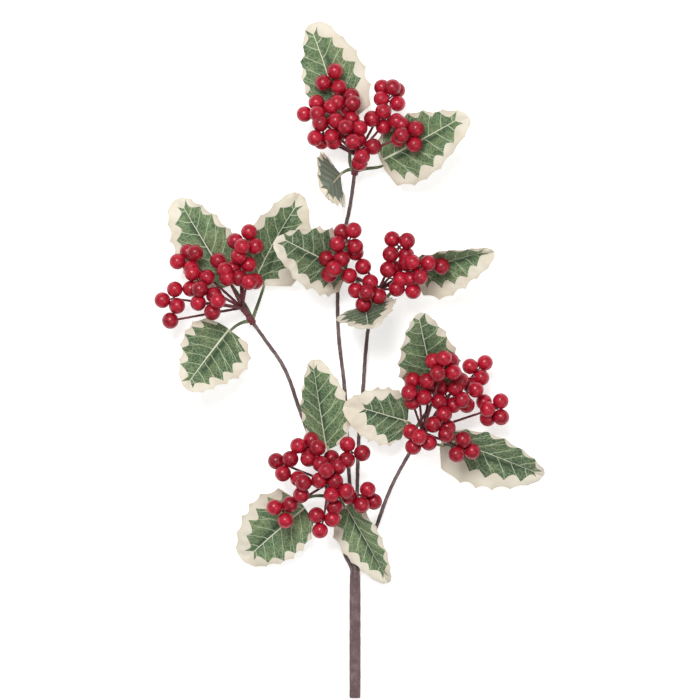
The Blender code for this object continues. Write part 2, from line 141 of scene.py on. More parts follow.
HEADS = (
    HeadPlan(
        "top",
        234.0,
        ((-1.7, 46.8, 4.0), (-5.1, 85.0, 4.0), (-8.7, 155.5, 4.0), (-14.6, 215.0, 4.0),
         (-11.9, 276.0, 6.0), (-4.2, 314.5, 10.0), (0.0, 344.2, 17.0)),
        (
            LeafPlan("upper", (-5.0, 386.0, 17.0), 107.0, -2.0, 22.0, 6.0, 0.0, 16.0, 1.03, 0.96,
                     PrintPlan((0.0, 0.22), (0.95, 0.13), 0.86, shade=0.15)),
            LeafPlan("right", (25.0, 349.0, 15.0), 27.0, 36.0, 10.0, 4.0, -8.0, 16.0, 1.06, 1.0,
                     PrintPlan((0.035, 0.15), (0.93, 0.1), 0.9)),
            LeafPlan("lower", (-12.8, 340.8, 18.0), 55.0, 92.0, -34.0, 0.0, -30.0, 12.0, 0.86, 0.87,
                     PrintPlan((0.0, 0.0), (0.93, 0.05), 0.86)),
        ),
        bunches((-21, 64, 3, -170, 0, -20), (-9, 46, 3, 70, 0, 40), (-38, 38, 3, -160, 0, 30),
                (-29, 19, 3, 100, 0, -10), (-20, 35, 2, 110, 0, 10), (-7, 27, 2, 80, 0, 50),
                (8, 26, 2, 40, 0, 10), (4, 7, 4, 0, 0, 40), (2, -7, 1, 0), (26, 30, 3, 120, 0, -50),
                (28, 51, 5, 130, 0, 20), (43, 17, 5, 120, 0, -50), (-9, 40, 1, 0, 12),
                (-25, 12, 2, 170, 12, 30), (-8, 18, 2, 150, 12, 30)),
    ),
    HeadPlan(
        "left",
        162.0,
        ((-8.2, 15.9, 5.0), (-21.2, 63.8, 4.0), (-36.5, 110.5, 4.0), (-47.6, 141.1, 5.0),
         (-60.7, 176.4, 8.0), (-76.5, 199.8, 12.0), (-88.7, 216.9, 17.0)),
        (
            LeafPlan("upper", (-105.4, 247.3, 14.0), 124.0, 4.0, 30.0, 0.0, -9.0, 18.0, 1.0, 0.95,
                     PrintPlan((0.0, 0.05), (0.92, -0.12), 0.85, shade=0.1)),
            LeafPlan("right", (-77.3, 247.3, 12.5), 74.0, 22.0, 18.0, -12.0, 8.0, 16.0, 0.95, 1.0,
                     PrintPlan((-0.02, 0.34), (0.92, -0.08), 0.68, shade=0.33)),
            LeafPlan("lower", (-106.6, 207.1, 13.0), -127.0, 46.0, 24.0, 4.0, 0.0, 8.0, 0.84, 1.02,
                     PrintPlan((0.0, -0.06), (0.95, -0.1), 0.86, 0.06, shade=0.3)),
        ),
        bunches((-46, 42, 4, 20, 0, 20), (-38, 21, 4, 120, 0, 20), (-60, 8, 3, 70, 0, -10),
                (-61, -11, 1, 0), (-37, 4, 1, 0), (-23, 4, 3, -120, 0, 60), (3, 56, 4, 70, 0, 20),
                (-2, 38, 3, 100, 0, -60), (-17, 36, 2, 120, 0, 30), (-12, 25, 1, 0), (5, 23, 3, 30, 0, 70)),
    ),
    HeadPlan(
        "centre",
        306.0,
        ((2.1, 80.8, 4.0), (3.4, 118.1, 4.0), (6.8, 157.2, 5.0), (9.3, 191.2, 8.0), (11.9, 212.5, 12.0),
         (17.0, 231.2, 18.0)),
        (
            LeafPlan("left", (-8.5, 258.8, 22.0), 159.0, 44.0, 12.0, 0.0, 8.0, 16.0, 0.92, 1.0,
                     PrintPlan((-0.05, -0.01), (0.95, -0.19), 0.83, shade=0.4)),
            LeafPlan("right", (50.0, 256.0, 18.0), 17.0, 36.0, 10.0, -4.0, 28.0, 36.0, 0.92, 0.9,
                     PrintPlan((0.0, 0.2), (0.93, 0.15), 0.82, shade=0.1)),
            LeafPlan("lower", (9.0, 227.2, 20.0), -73.0, 78.0, 6.0, 0.0, 0.0, 10.0, 0.82, 0.9,
                     PrintPlan((0.0, 0.0), (0.88, -0.1), 0.8, shade=0.6)),
        ),
        bunches((-27, 42, 4, 40), (-16, 25, 2, 120), (-39, 20, 4, 130, 0, 40), (-25, 11, 1, 0),
                (17, 35, 4, 40, 0, -20), (35, 18, 3, 30), (53, 19, 1, 0), (13, 14, 3, 60, 0, 60),
                (22, -1, 2, 170, 0, -10), (-10, -4, 5, 70), (25, 15, 2, 110, 12)),
    ),
    HeadPlan(
        "right",
        18.0,
        ((6.0, 14.0, 5.0), (15.6, 34.0, 5.0), (29.8, 71.7, 8.0), (44.8, 100.3, 13.0),
         (51.0, 110.5, 16.0)),
        (
            LeafPlan("upper", (67.0, 155.5, 22.0), 100.0, 40.0, 8.0, 0.0, 0.0, 16.0, 0.95, 0.93,
                     PrintPlan((0.0, -0.05), (0.99, 0.08), 0.92)),
            LeafPlan("left", (43.9, 130.0, 22.0), 166.0, 20.0, 26.0, 0.0, 0.0, 14.0, 0.62, 0.86,
                     PrintPlan((-0.4, 0.0), (0.76, -0.1), 0.84, shade=0.45)),
            LeafPlan("lower", (73.0, 110.0, 15.0), -15.0, 8.0, 36.0, -4.0, 22.0, 18.0, 1.05, 0.9,
                     PrintPlan((0.02, 0.36), (0.95, 0.06), 0.78, shade=0.45)),
        ),
        bunches((17, 56, 5, 140, 0, 20), (-4, 38, 4, 30), (-9, 26, 1, 0), (21, 31, 4, 40, 0, -10),
                (43, 38, 2, 60, 0, 70), (35, 26, 2, 10, 0, 70), (48, 54, 3, 40), (60, 20, 5, 140, 0, -50),
                (17, 6, 4, 90, 0, 40), (-4, -6, 4, 60, 0, 50), (35, -14, 3, 100, 0, 10), (7, 39, 1, 0, 12),
                (32, 44, 1, 0, 12)),
    ),
    HeadPlan(
        "bottom",
        90.0,
        ((-2.4, 16.0, 9.0), (-6.0, 28.0, 10.0), (-11.0, 46.8, 12.0), (-17.8, 66.3, 16.0)),
        (
            LeafPlan("upper", (-22.9, 107.1, 15.0), 99.0, 6.0, 18.0, 0.0, 14.0, 30.0, 0.86, 0.84,
                     PrintPlan((-0.02, 0.08), (0.95, 0.1), 0.94, shade=0.22)),
            LeafPlan("left", (-46.5, 61.0, 14.0), -136.0, 4.0, 40.0, 4.0, 0.0, 12.0, 0.82, 1.02,
                     PrintPlan((-0.05, 0.2), (0.87, 0.02), 0.86)),
            LeafPlan("right", (-9.0, 58.0, 18.0), -59.0, 6.0, 22.0, -2.0, 24.0, 26.0, 0.84, 0.72,
                     PrintPlan((0.0, 0.08), (0.93, 0.1), 0.8, shade=0.12)),
        ),
        bunches((-17, 30, 4, 170, 0, 20), (-39, 16, 3, 30, 0, 20), (-24, -2, 3, 20, 0, 60),
                (-39, -24, 3, 40, 0, -20), (-5, -33, 3, -110), (3, -15, 2, 100, 0, 30),
                (33, -13, 3, -140, 0, 30), (16, -9, 2, 140, 0, 60), (20, 26, 3, 120, 0, -10),
                (-1, 9, 5, -140, 0, 10), (-17, 25, 1, 0, 12), (2, 21, 1, 0, 12)),
    ),
)


# Node graphs -----------------------------------------------------------------------------------------


def srgb(red: int, green: int, blue: int) -> Colour:
    """Turn display values, each from 0 to 255, into a linear colour.

    Args:
        red: The red value.
        green: The green value.
        blue: The blue value.

    Returns:
        The linear red, green, blue and alpha.
    """
    shares = [value / 255 for value in (red, green, blue)]
    linear = [share / 12.92 if share < 0.04045 else ((share + 0.055) / 1.055) ** 2.4 for share in shares]
    return (*linear, 1.0)


class Value:
    """An output in a node graph. Sums on it add their nodes to the graph."""

    def __init__(self, canvas: "Canvas", socket: NodeSocket) -> None:
        """Keep the graph's canvas and the output."""
        self.canvas, self.socket = canvas, socket

    def __add__(self, other: object) -> "Value":
        """Return self plus other."""
        return self.canvas.math("ADD", self, other)

    def __sub__(self, other: object) -> "Value":
        """Return self less other."""
        return self.canvas.math("SUBTRACT", self, other)

    def __mul__(self, other: object) -> "Value":
        """Return self times other."""
        return self.canvas.math("MULTIPLY", self, other)

    def __truediv__(self, other: object) -> "Value":
        """Return self divided by other."""
        return self.canvas.math("DIVIDE", self, other)

    def __abs__(self) -> "Value":
        """Return self without its sign."""
        return self.canvas.math("ABSOLUTE", self)

    def fade(self, low: float, high: float, start: float = 0.0, end: float = 1.0) -> "Value":
        """Return a smooth step of self, from start at low to end at high."""
        inputs = {"Value": self, "From Min": low, "From Max": high, "To Min": start, "To Max": end}
        return self.canvas.out("ShaderNodeMapRange", inputs, interpolation_type="SMOOTHSTEP")


class Canvas:
    """Writes a node graph: each method adds a node and returns what comes out of it."""

    def __init__(self, tree: NodeTree) -> None:
        """Keep the tree that the nodes go in."""
        self.tree = tree

    def plug(self, node: Node, inputs: dict) -> Node:
        """Fill a node's inputs.

        Args:
            node: The node.
            inputs: What goes in each input, by name or number: a constant or a Value.

        Returns:
            The same node.
        """
        for key, given in inputs.items():
            if isinstance(given, Value):
                self.tree.links.new(given.socket, node.inputs[key])
            else:
                node.inputs[key].default_value = given
        return node

    def node(self, kind: str, inputs: dict | None = None, **settings: object) -> Node:
        """Add a node.

        Args:
            kind: The node's type name.
            inputs: What goes in each input, as in plug.
            settings: The node's own settings.

        Returns:
            The node.
        """
        made = self.tree.nodes.new(kind)
        for name, value in settings.items():
            setattr(made, name, value)
        return self.plug(made, inputs or {})

    def out(self, kind: str, inputs: dict | None = None, output: int | str = 0, **settings: object) -> Value:
        """Return one output of a new node, which is made as in node."""
        return Value(self, self.node(kind, inputs, **settings).outputs[output])

    def math(self, operation: str, *values: object) -> Value:
        """Return the result of one sum on numbers."""
        return self.out("ShaderNodeMath", dict(enumerate(values)), operation=operation)

    def vector(self, operation: str, *values: object) -> Value:
        """Return the result of one sum on vectors."""
        return self.out("ShaderNodeVectorMath", dict(enumerate(values)), operation=operation)

    def scaled(self, vector: Value, factor: Value) -> Value:
        """Return a vector times a number."""
        return self.out("ShaderNodeVectorMath", {0: vector, "Scale": factor}, operation="SCALE")

    def join(self, *values: object) -> Value:
        """Return the vector of three numbers."""
        return self.out("ShaderNodeCombineXYZ", dict(enumerate(values)))

    def parts(self, vector: Value) -> list[Value]:
        """Return a vector's x, y and z."""
        return [Value(self, socket) for socket in self.node("ShaderNodeSeparateXYZ", {0: vector}).outputs]

    def layers(self, colour: object, *coats: tuple[Value, Colour]) -> object:
        """Paint coats over a colour, one over another.

        Args:
            colour: The colour under them.
            coats: Each coat's share and colour.

        Returns:
            The colour that shows.
        """
        for share, coat in coats:
            colour = self.out("ShaderNodeMix", {0: share, 6: colour, 7: coat}, 2, data_type="RGBA")
        return colour

    def noise(self, where: Value, scale: float, detail: float = 2.0, rough: float = 0.5) -> Value:
        """Return noise from 0 to 1 at a place."""
        inputs = {"Vector": where, "Scale": scale, "Detail": detail, "Roughness": rough}
        return self.out("ShaderNodeTexNoise", inputs)

    def bump(self, height: Value, strength: float, distance: float) -> Value:
        """Return the normal that a height gives."""
        return self.out("ShaderNodeBump", {"Height": height, "Strength": strength, "Distance": distance})

    def attribute(self, name: str, output: str = "Fac") -> Value:
        """Return what the mesh stores under a name."""
        return self.out("ShaderNodeAttribute", None, output, attribute_name=name)


# Finishes --------------------------------------------------------------------------------------------


@dataclass(frozen=True)
class VeinRule:
    """How the side veins run, in shares of the print's length and half width."""

    spacing: float = 0.15
    lean: float = 0.2
    curve: float = 0.1
    fork_from: float = 0.42
    fork_slope: float = 0.5
    stagger: float = 0.5

    def phase(self, along: float | Value, spread: float | Value, left: float | Value) -> float | Value:
        """Return where a place lies between two side veins: a whole number and a half is on a vein.

        Args:
            along: Share of the print's length.
            spread: Share of its half width, without a sign.
            left: 1 on the left half and 0 on the right.

        Returns:
            The phase, as a number or as a graph's output, like what was given.
        """
        start = along - spread * self.lean - spread * spread * self.curve
        return start / self.spacing + left * self.stagger


VEINS = VeinRule()


class Finish:
    """A procedural material. Each kind says what its shader's inputs get."""

    name: str

    def sockets(self, canvas: Canvas, place: Value) -> dict[str, object]:
        """Return what goes in the shader's inputs, given the place on the object."""
        raise NotImplementedError

    def material(self) -> Material:
        """Make the finish's material.

        Returns:
            The material.
        """
        made = bpy.data.materials.new(self.name)
        made.use_nodes = True
        canvas = Canvas(made.node_tree)
        place = canvas.out("ShaderNodeTexCoord", None, "Object")
        canvas.plug(made.node_tree.nodes["Principled BSDF"], self.sockets(canvas, place))
        return made


@dataclass(frozen=True)
class PrintedCloth(Finish):
    """Cloth printed green as a holly leaf, with a pale midrib, forked side veins and a fine net."""

    name: str = "printed_cloth"
    light: Colour = srgb(116, 137, 94)
    deep: Colour = srgb(85, 112, 77)
    dark: Colour = srgb(44, 66, 46)
    brown: Colour = srgb(128, 84, 68)
    vein: Colour = srgb(190, 206, 166)
    rib: Colour = srgb(230, 230, 206)

    def veins(self, canvas: Canvas) -> tuple[Value, Value, Value]:
        """Draw the veins from the print's own map.

        Args:
            canvas: The material's canvas.

        Returns:
            Masks of the midrib, of the side veins and of the net between them.
        """
        flat = canvas.out("ShaderNodeUVMap", uv_map="print")
        along, half, _ = canvas.parts(flat)
        across = half * 2.0 - 1.0
        spread = abs(across)
        wander = canvas.noise(flat, 5.0) * 0.05 - 0.025
        phase = VEINS.phase(along + wander, spread, canvas.math("GREATER_THAN", across, 0.0))
        opening = canvas.math("MAXIMUM", spread - VEINS.fork_from, 0.0) * VEINS.fork_slope
        fork = abs(abs(canvas.math("FRACT", phase) - 0.5) - opening)
        side = (fork / spread.fade(0.0, 1.0, 0.052, 0.024)).fade(0.35, 1.0, 1.0, 0.0)
        rib = (spread / along.fade(-0.1, 0.95, 0.034, 0.012)).fade(0.6, 1.15, 1.0, 0.0)
        cells = {"Vector": canvas.vector("MULTIPLY", flat, (24.0, 14.0, 1.0)), "Scale": 1.0}
        net = canvas.out("ShaderNodeTexVoronoi", cells, "Distance", feature="DISTANCE_TO_EDGE")
        return rib, side, net.fade(0.02, 0.09, 1.0, 0.0)

    def sockets(self, canvas: Canvas, place: Value) -> dict[str, object]:
        """Make green ink with darker zones, grain and rusty specks under the pale veins, and painted shade in
        the moulded fold.

        Args:
            canvas: The material's canvas.
            place: The place on the object.

        Returns:
            What goes in the shader's inputs.
        """
        rib, side, net = self.veins(canvas)
        zone = canvas.noise(place, 55.0, 3.0, 0.6).fade(0.35, 0.65)
        grain = canvas.noise(place, 760.0, 3.0, 0.75).fade(0.46, 0.62)
        aside = canvas.vector("ADD", place, (3.0, 1.0, 2.0))
        rust = canvas.noise(aside, 620.0, 2.0, 0.6).fade(0.56, 0.66)
        patch = canvas.noise(place, 38.0).fade(0.4, 0.7)
        lines = canvas.math("MAXIMUM", side * 0.7, rib)
        return {
            "Base Color": canvas.layers(
                self.light, (zone, self.deep), (canvas.attribute("shade"), self.dark),
                (grain * 0.5, self.dark), (rust * patch * 0.6, self.brown), (net * 0.26, self.vein),
                # painted shade along the moulded fold beside the midrib
                (canvas.attribute("crease_shade") * 0.95, self.dark), (side * 0.78, self.vein),
                (rib * 0.94, self.rib)),
            "Roughness": 0.66,
            "Specular IOR Level": 0.3,
            "Sheen Weight": 0.08,
            "Normal": canvas.bump(lines + canvas.noise(place, 2400.0, 1.0) * 0.25, 0.35, 0.0004),
        }


@dataclass(frozen=True)
class CreamCloth(Finish):
    """The unprinted cloth round the print."""

    name: str = "cream_cloth"
    pale: Colour = srgb(223, 216, 199)
    warm: Colour = srgb(213, 204, 185)
    edge: Colour = srgb(198, 184, 164)

    def sockets(self, canvas: Canvas, place: Value) -> dict[str, object]:
        """Make cream in two tones, darker in patches along the cut, with a weave.

        Args:
            canvas: The material's canvas.
            place: The place on the object.

        Returns:
            What goes in the shader's inputs.
        """
        zone = canvas.noise(place, 45.0, 3.0).fade(0.38, 0.66)
        cut_darkening = canvas.attribute("edge") * canvas.noise(place, 180.0)
        weave = canvas.noise(canvas.vector("MULTIPLY", place, (1.0, 0.6, 1.0)), 2600.0, 1.0)
        return {
            "Base Color": canvas.layers(self.pale, (zone, self.warm), (cut_darkening, self.edge)),
            "Roughness": 0.8,
            "Specular IOR Level": 0.2,
            "Sheen Weight": 0.1,
            "Normal": canvas.bump(weave, 0.2, 0.0003),
        }


@dataclass(frozen=True)
class ClothBack(Finish):
    """The back of the cloth, where the print shows through greyer, with painted light along the ridges of its
    pleats.
    """

    name: str
    base: Colour
    # streak is the colour of the painted light on the pleats' ridges
    streak: Colour
    shade: Colour

    def sockets(self, canvas: Canvas, place: Value) -> dict[str, object]:
        """Make the cloth's back, with painted light along the pleats' ridges and a dark grain.

        Args:
            canvas: The material's canvas.
            place: The place on the object.

        Returns:
            What goes in the shader's inputs.
        """
        # painted highlight: lighter where the pleats stand high
        pleat_highlight = canvas.attribute("pleat").fade(-0.6, 0.8) * 0.7
        grain = canvas.noise(place, 420.0, 3.0, 0.7).fade(0.4, 0.7) * 0.35
        return {
            "Base Color": canvas.layers(self.base, (pleat_highlight, self.streak), (grain, self.shade)),
            "Roughness": 0.85,
            "Specular IOR Level": 0.2,
            "Normal": canvas.bump(canvas.noise(place, 2200.0, 1.0), 0.2, 0.0003),
        }


@dataclass(frozen=True)
class Lacquer(Finish):
    """Crimson lacquer over a bead, with a dark wire end at its pole."""

    name: str = "crimson_lacquer"
    bright: Colour = srgb(226, 44, 78)
    deep: Colour = srgb(128, 3, 27)
    film: Colour = (0.55, 0.07, 0.16, 1.0)
    wire: Colour = srgb(46, 8, 12)

    def sockets(self, canvas: Canvas, place: Value) -> dict[str, object]:
        """Make clouded red under a tinted coat, each bead in its own tone.

        Args:
            canvas: The material's canvas.
            place: The place on the object.

        Returns:
            What goes in the shader's inputs.
        """
        cloud = canvas.noise(place, 300.0, 3.0, 0.6).fade(0.36, 0.64)
        share, tip = canvas.attribute("tone") * 0.45 + cloud * 0.55, canvas.attribute("tip")
        return {
            "Base Color": canvas.layers(self.bright, (share, self.deep), (tip, self.wire)),
            "Roughness": cloud * 0.12 + 0.36,
            "Specular IOR Level": 0.6,
            "Coat Weight": 0.65,
            "Coat Roughness": 0.12,
            "Coat IOR": 1.35,
            "Coat Tint": self.film,
            "Normal": canvas.bump(canvas.noise(place, 260.0), 0.16, 0.0006),
        }


@dataclass(frozen=True)
class PaperTape(Finish):
    """Paper tape wound round wire, with a painted highlight on each lap's raised edge and painted shade at
    the foot of its step.
    """

    name: str
    base: Colour
    light: Colour
    dark: Colour
    pitch: float
    # strength of the painted highlight and shade at each lap
    lap_shading: float = 0.6
    streak: float = 90.0
    roughness: float = 0.82

    def sockets(self, canvas: Canvas, place: Value) -> dict[str, object]:
        """Make blotched, fibrous paper with painted highlight and shade at each lap, following the winding.

        Args:
            canvas: The material's canvas.
            place: The place on the object.

        Returns:
            What goes in the shader's inputs.
        """
        cosine, sine, length = canvas.parts(canvas.attribute("round", "Vector"))
        turn = canvas.math("ARCTAN2", sine, cosine) / math.tau
        phase = canvas.math("FRACT", length / (self.pitch * MM) + turn)
        fibre = canvas.noise(canvas.join(cosine * 1.2, sine * 1.2, length * self.streak), 5.0, 4.0, 0.7)
        blotch = canvas.noise(place, 120.0, 3.0, 0.6).fade(0.35, 0.7)
        return {
            "Base Color": canvas.layers(
                self.base, (blotch, self.light), (fibre.fade(0.45, 0.75, 0.0, 0.7), self.dark),
                # painted highlight on the raised edge of each lap, then painted shade at the foot of its step
                (phase.fade(0.8, 1.0) * (self.lap_shading * 0.6), self.light),
                (phase.fade(0.0, 0.12, 1.0, 0.0) * self.lap_shading, self.dark)),
            "Roughness": self.roughness,
            "Specular IOR Level": 0.25,
            "Normal": canvas.bump(fibre + canvas.noise(place, 1500.0) * 0.4, 0.35, 0.0005),
        }


@dataclass(frozen=True)
class MouldedGreen(Finish):
    """Moulded green plastic that turns beige where it is bonded under the cloth."""

    name: str = "moulded_green"
    fresh: Colour = srgb(112, 124, 88)
    deep: Colour = srgb(74, 86, 60)
    bond: Colour = srgb(196, 184, 146)

    def sockets(self, canvas: Canvas, place: Value) -> dict[str, object]:
        """Make blotched plastic with a beige far end.

        Args:
            canvas: The material's canvas.
            place: The place on the object.

        Returns:
            What goes in the shader's inputs.
        """
        blotch = canvas.noise(place, 160.0, 3.0, 0.6).fade(0.35, 0.7)
        end = canvas.attribute("reach").fade(0.78, 1.0)
        return {
            "Base Color": canvas.layers(self.fresh, (blotch, self.deep), (end, self.bond)),
            "Roughness": 0.5,
            "Specular IOR Level": 0.4,
            "Normal": canvas.bump(canvas.noise(place, 900.0), 0.15, 0.0004),
        }


@dataclass(frozen=True)
class FloorPaint(Finish):
    """The pale floor, which glows a little so that it comes out white."""

    name: str = "pale_floor"
    colour: Colour = (0.9, 0.9, 0.9, 1.0)
    glow: float = 0.5

    def sockets(self, canvas: Canvas, place: Value) -> dict[str, object]:
        """Make a plain matt paint.

        Args:
            canvas: The material's canvas; not used.
            place: The place on the object; not used.

        Returns:
            What goes in the shader's inputs.
        """
        return {
            "Base Color": self.colour,
            "Roughness": 0.9,
            "Specular IOR Level": 0.1,
            "Emission Color": (1.0, 1.0, 1.0, 1.0),
            "Emission Strength": self.glow,
        }


# Geometry node trees ----------------------------------------------------------------------------------


def link(name: str, data: bpy.types.ID) -> Object:
    """Add a new object to the scene.

    Args:
        name: The object's name.
        data: What it shows: a mesh, a curve, a light or a camera.

    Returns:
        The object.
    """
    made = bpy.data.objects.new(name, data)
    bpy.context.scene.collection.objects.link(made)
    return made


def plain_mesh(obj: Object) -> Mesh:
    """Take an object's mesh as its modifiers leave it, and remove the object.

    Args:
        obj: The object.

    Returns:
        The mesh, with no modifier on it.
    """
    graph = bpy.context.evaluated_depsgraph_get()
    mesh = bpy.data.meshes.new_from_object(obj.evaluated_get(graph))
    obj.modifiers.clear()
    bpy.data.objects.remove(obj, do_unlink=True)
    return mesh


class NodeTool:
    """A geometry node tree with named inputs, run on one object at a time."""

    def __init__(self, name: str, whole: Sequence[str], real: Sequence[str]) -> None:
        """Start the tree, with a material among its inputs.

        Args:
            name: The tree's name.
            whole: The inputs that are whole numbers.
            real: The inputs that are real numbers.
        """
        self.tree = bpy.data.node_groups.new(name, "GeometryNodeTree")
        kinds = {"Geometry": "Geometry", **dict.fromkeys(whole, "Int"), **dict.fromkeys(real, "Float"),
                 "Material": "Material"}
        self.tree.interface.new_socket("Geometry", in_out="OUTPUT", socket_type="NodeSocketGeometry")
        for label, kind in kinds.items():
            self.tree.interface.new_socket(label, in_out="INPUT", socket_type="NodeSocket" + kind)
        self.canvas = Canvas(self.tree)
        start = self.canvas.node("NodeGroupInput")
        self.given = {label: Value(self.canvas, start.outputs[label]) for label in kinds}

    def capture(self, geometry: Value, **values: Value) -> list[Value]:
        """Keep values as they are at this point of the tree.

        Args:
            geometry: The geometry that they are read on.
            values: The values by name: centre is a vector and the others are numbers.

        Returns:
            The geometry, and each value as it was.
        """
        kept = self.canvas.node("GeometryNodeCaptureAttribute")
        for label in values:
            kept.capture_items.new("VECTOR" if label == "centre" else "FLOAT", label)
        self.canvas.plug(kept, dict(enumerate((geometry, *values.values()))))
        return [Value(self.canvas, socket) for socket in kept.outputs[:len(values) + 1]]

    def store(self, geometry: Value, name: str, value: object, kind: str = "FLOAT",
              domain: str = "POINT") -> Value:
        """Return the geometry with a value stored under a name."""
        inputs = {"Geometry": geometry, "Name": name, "Value": value}
        return self.canvas.out("GeometryNodeStoreNamedAttribute", inputs, data_type=kind, domain=domain)

    def close(self, geometry: Value) -> None:
        """End the tree: real geometry, smooth, in the given material.

        Args:
            geometry: What the tree has made.
        """
        canvas = self.canvas
        real = canvas.out("GeometryNodeRealizeInstances", {0: geometry})
        smooth = canvas.out("GeometryNodeSetShadeSmooth", {"Geometry": real})
        inputs = {"Geometry": smooth, "Material": self.given["Material"]}
        canvas.node("NodeGroupOutput", {0: canvas.out("GeometryNodeSetMaterial", inputs)})

    def run(self, obj: Object, values: dict[str, object]) -> Mesh:
        """Run the tree on an object, and remove the object.

        Args:
            obj: The object that the tree reads.
            values: A value for each named input.

        Returns:
            The plain mesh.
        """
        modifier = obj.modifiers.new(self.tree.name, "NODES")
        modifier.node_group = self.tree
        for item in self.tree.interface.items_tree:
            if item.in_out == "INPUT" and item.name in values:
                modifier[item.identifier] = values[item.name]
        return plain_mesh(obj)


@dataclass(frozen=True)
class Winding:
    """How a tube is made, in millimetres: its faces round and its rings, its tape and its lumps."""

    sides: int
    spacing: float
    pitch: float = 10.0
    step: float = 0.0
    lump: float = 0.0
    lump_size: float = 10.0


class TubeTool(NodeTool):
    """Makes a round tube along each spline, wound with tape and a little lumpy."""

    def __init__(self) -> None:
        """Build the tree."""
        super().__init__("taped_tube", ("Sides",),
                         ("Spacing", "Tape Pitch", "Tape Step", "Lump Height", "Lump Size", "Seed"))
        canvas, given = self.canvas, self.given
        inputs = {"Curve": given["Geometry"], "Length": given["Spacing"]}
        path = canvas.out("GeometryNodeResampleCurve", inputs, mode="LENGTH")
        factor, travelled = (canvas.out("GeometryNodeSplineParameter", None, label)
                             for label in ("Factor", "Length"))
        centre = canvas.out("GeometryNodeInputPosition")
        path, length, share, middle = self.capture(path, length=travelled, share=factor, centre=centre)
        circle = canvas.out("GeometryNodeCurvePrimitiveCircle", {"Resolution": given["Sides"], "Radius": 1.0})
        circle, turn = self.capture(circle, turn=factor)
        swept = canvas.out("GeometryNodeCurveToMesh", {
            "Curve": path, "Profile Curve": circle, "Scale": canvas.out("GeometryNodeInputRadius"),
            "Fill Caps": True,
        })
        step = canvas.math("FRACT", length / given["Tape Pitch"] + turn) * given["Tape Step"]
        place = canvas.scaled(centre, canvas.math("DIVIDE", 1.0, given["Lump Size"]))
        inputs = {"Vector": place, "W": given["Seed"], "Scale": 1.0}
        lumps = (canvas.out("ShaderNodeTexNoise", inputs, noise_dimensions="4D") - 0.5) * given["Lump Height"]
        outward = canvas.vector("NORMALIZE", canvas.vector("SUBTRACT", centre, middle))
        angle = turn * math.tau
        rounding = canvas.join(canvas.math("COSINE", angle), canvas.math("SINE", angle), length)
        swept = self.store(self.store(swept, "round", rounding, "FLOAT_VECTOR"), "reach", share)
        inputs = {"Geometry": swept, "Offset": canvas.scaled(outward, step + lumps)}
        self.close(canvas.out("GeometryNodeSetPosition", inputs))

    def make(self, name: str, strands: Sequence[Strand], finish: Material, winding: Winding,
             seed: int = 0) -> Mesh:
        """Make one mesh of tubes.

        Args:
            name: The mesh's name.
            strands: Each tube's points, in millimetres from the fork, and its radii there.
            finish: The tubes' material.
            winding: How they are made.
            seed: The lumps' seed.

        Returns:
            The plain mesh.
        """
        curve = bpy.data.curves.new(name, "CURVE")
        curve.dimensions = "3D"
        for points, radii in strands:
            spline = curve.splines.new("BEZIER")
            spline.bezier_points.add(len(points) - 1)
            for knot, point, radius in zip(spline.bezier_points, points, radii):
                knot.co, knot.radius = FORK + point * MM, radius * MM
                knot.handle_left_type = knot.handle_right_type = "AUTO"
        return self.run(link(name + "_guide", curve), {
            "Sides": winding.sides, "Spacing": winding.spacing * MM, "Tape Pitch": winding.pitch * MM,
            "Tape Step": winding.step * MM, "Lump Height": winding.lump * MM,
            "Lump Size": winding.lump_size * MM, "Seed": float(seed), "Material": finish,
        })


class BeadTool(NodeTool):
    """Sets a bead with a wire end on each point, turned to the point's own axis."""

    def __init__(self) -> None:
        """Build the tree."""
        super().__init__("beads", ("Segments", "Rings", "Seed"), ("Radius", "Size Spread", "Wire Radius"))
        canvas, given = self.canvas, self.given
        ball = canvas.out("GeometryNodeMeshUVSphere",
                          {label: given[label] for label in ("Segments", "Rings", "Radius")})
        wire = given["Wire Radius"]
        cone = canvas.out("GeometryNodeMeshCone", {
            "Vertices": 8, "Radius Top": wire * 0.6, "Radius Bottom": wire, "Depth": wire * 1.2,
        })
        up = canvas.join(0.0, 0.0, given["Radius"] - wire * 0.6)
        cone = canvas.out("GeometryNodeTransform", {"Geometry": cone, "Translation": up})
        both = canvas.node("GeometryNodeJoinGeometry", {0: ball})
        canvas.plug(both, {0: self.store(cone, "tip", 1.0)})
        axis = canvas.out("GeometryNodeInputNamedAttribute", {"Name": "axis"}, data_type="FLOAT_VECTOR")
        low, high = (canvas.math(kind, 1.0, given["Size Spread"]) for kind in ("SUBTRACT", "ADD"))
        size, tone = (canvas.out("FunctionNodeRandomValue", {2: least, 3: most, 8: given["Seed"]}, 1)
                      for least, most in ((low, high), (0.0, 1.0)))
        placed = canvas.out("GeometryNodeInstanceOnPoints", {
            "Points": given["Geometry"], "Instance": Value(canvas, both.outputs[0]), "Scale": size,
            "Rotation": canvas.out("FunctionNodeAlignRotationToVector", {"Vector": axis}, axis="Z"),
        })
        self.close(self.store(placed, "tone", tone, domain="INSTANCE"))

    def make(self, name: str, centres: Sequence[Vector], axes: Sequence[Vector],
             values: dict[str, object]) -> Mesh:
        """Make one mesh of beads.

        Args:
            name: The mesh's name.
            centres: The beads' middles, in millimetres from the fork.
            axes: The direction of each bead's wire end.
            values: A value for each named input.

        Returns:
            The plain mesh.
        """
        points = bpy.data.meshes.new(name)
        points.from_pydata([FORK + centre * MM for centre in centres], [], [])
        store_values(points, "axis", [tuple(axis) for axis in axes], "FLOAT_VECTOR")
        return self.run(link(name + "_points", points), values)


# Shared shape rules -----------------------------------------------------------------------------------


def stem_fork() -> Vector:
    """Return the middle of the main stem's top face, on the table's level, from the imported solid."""
    low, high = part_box("main_stem")
    return Vector(((low.x + high.x) / 2, high.y, 0.0))


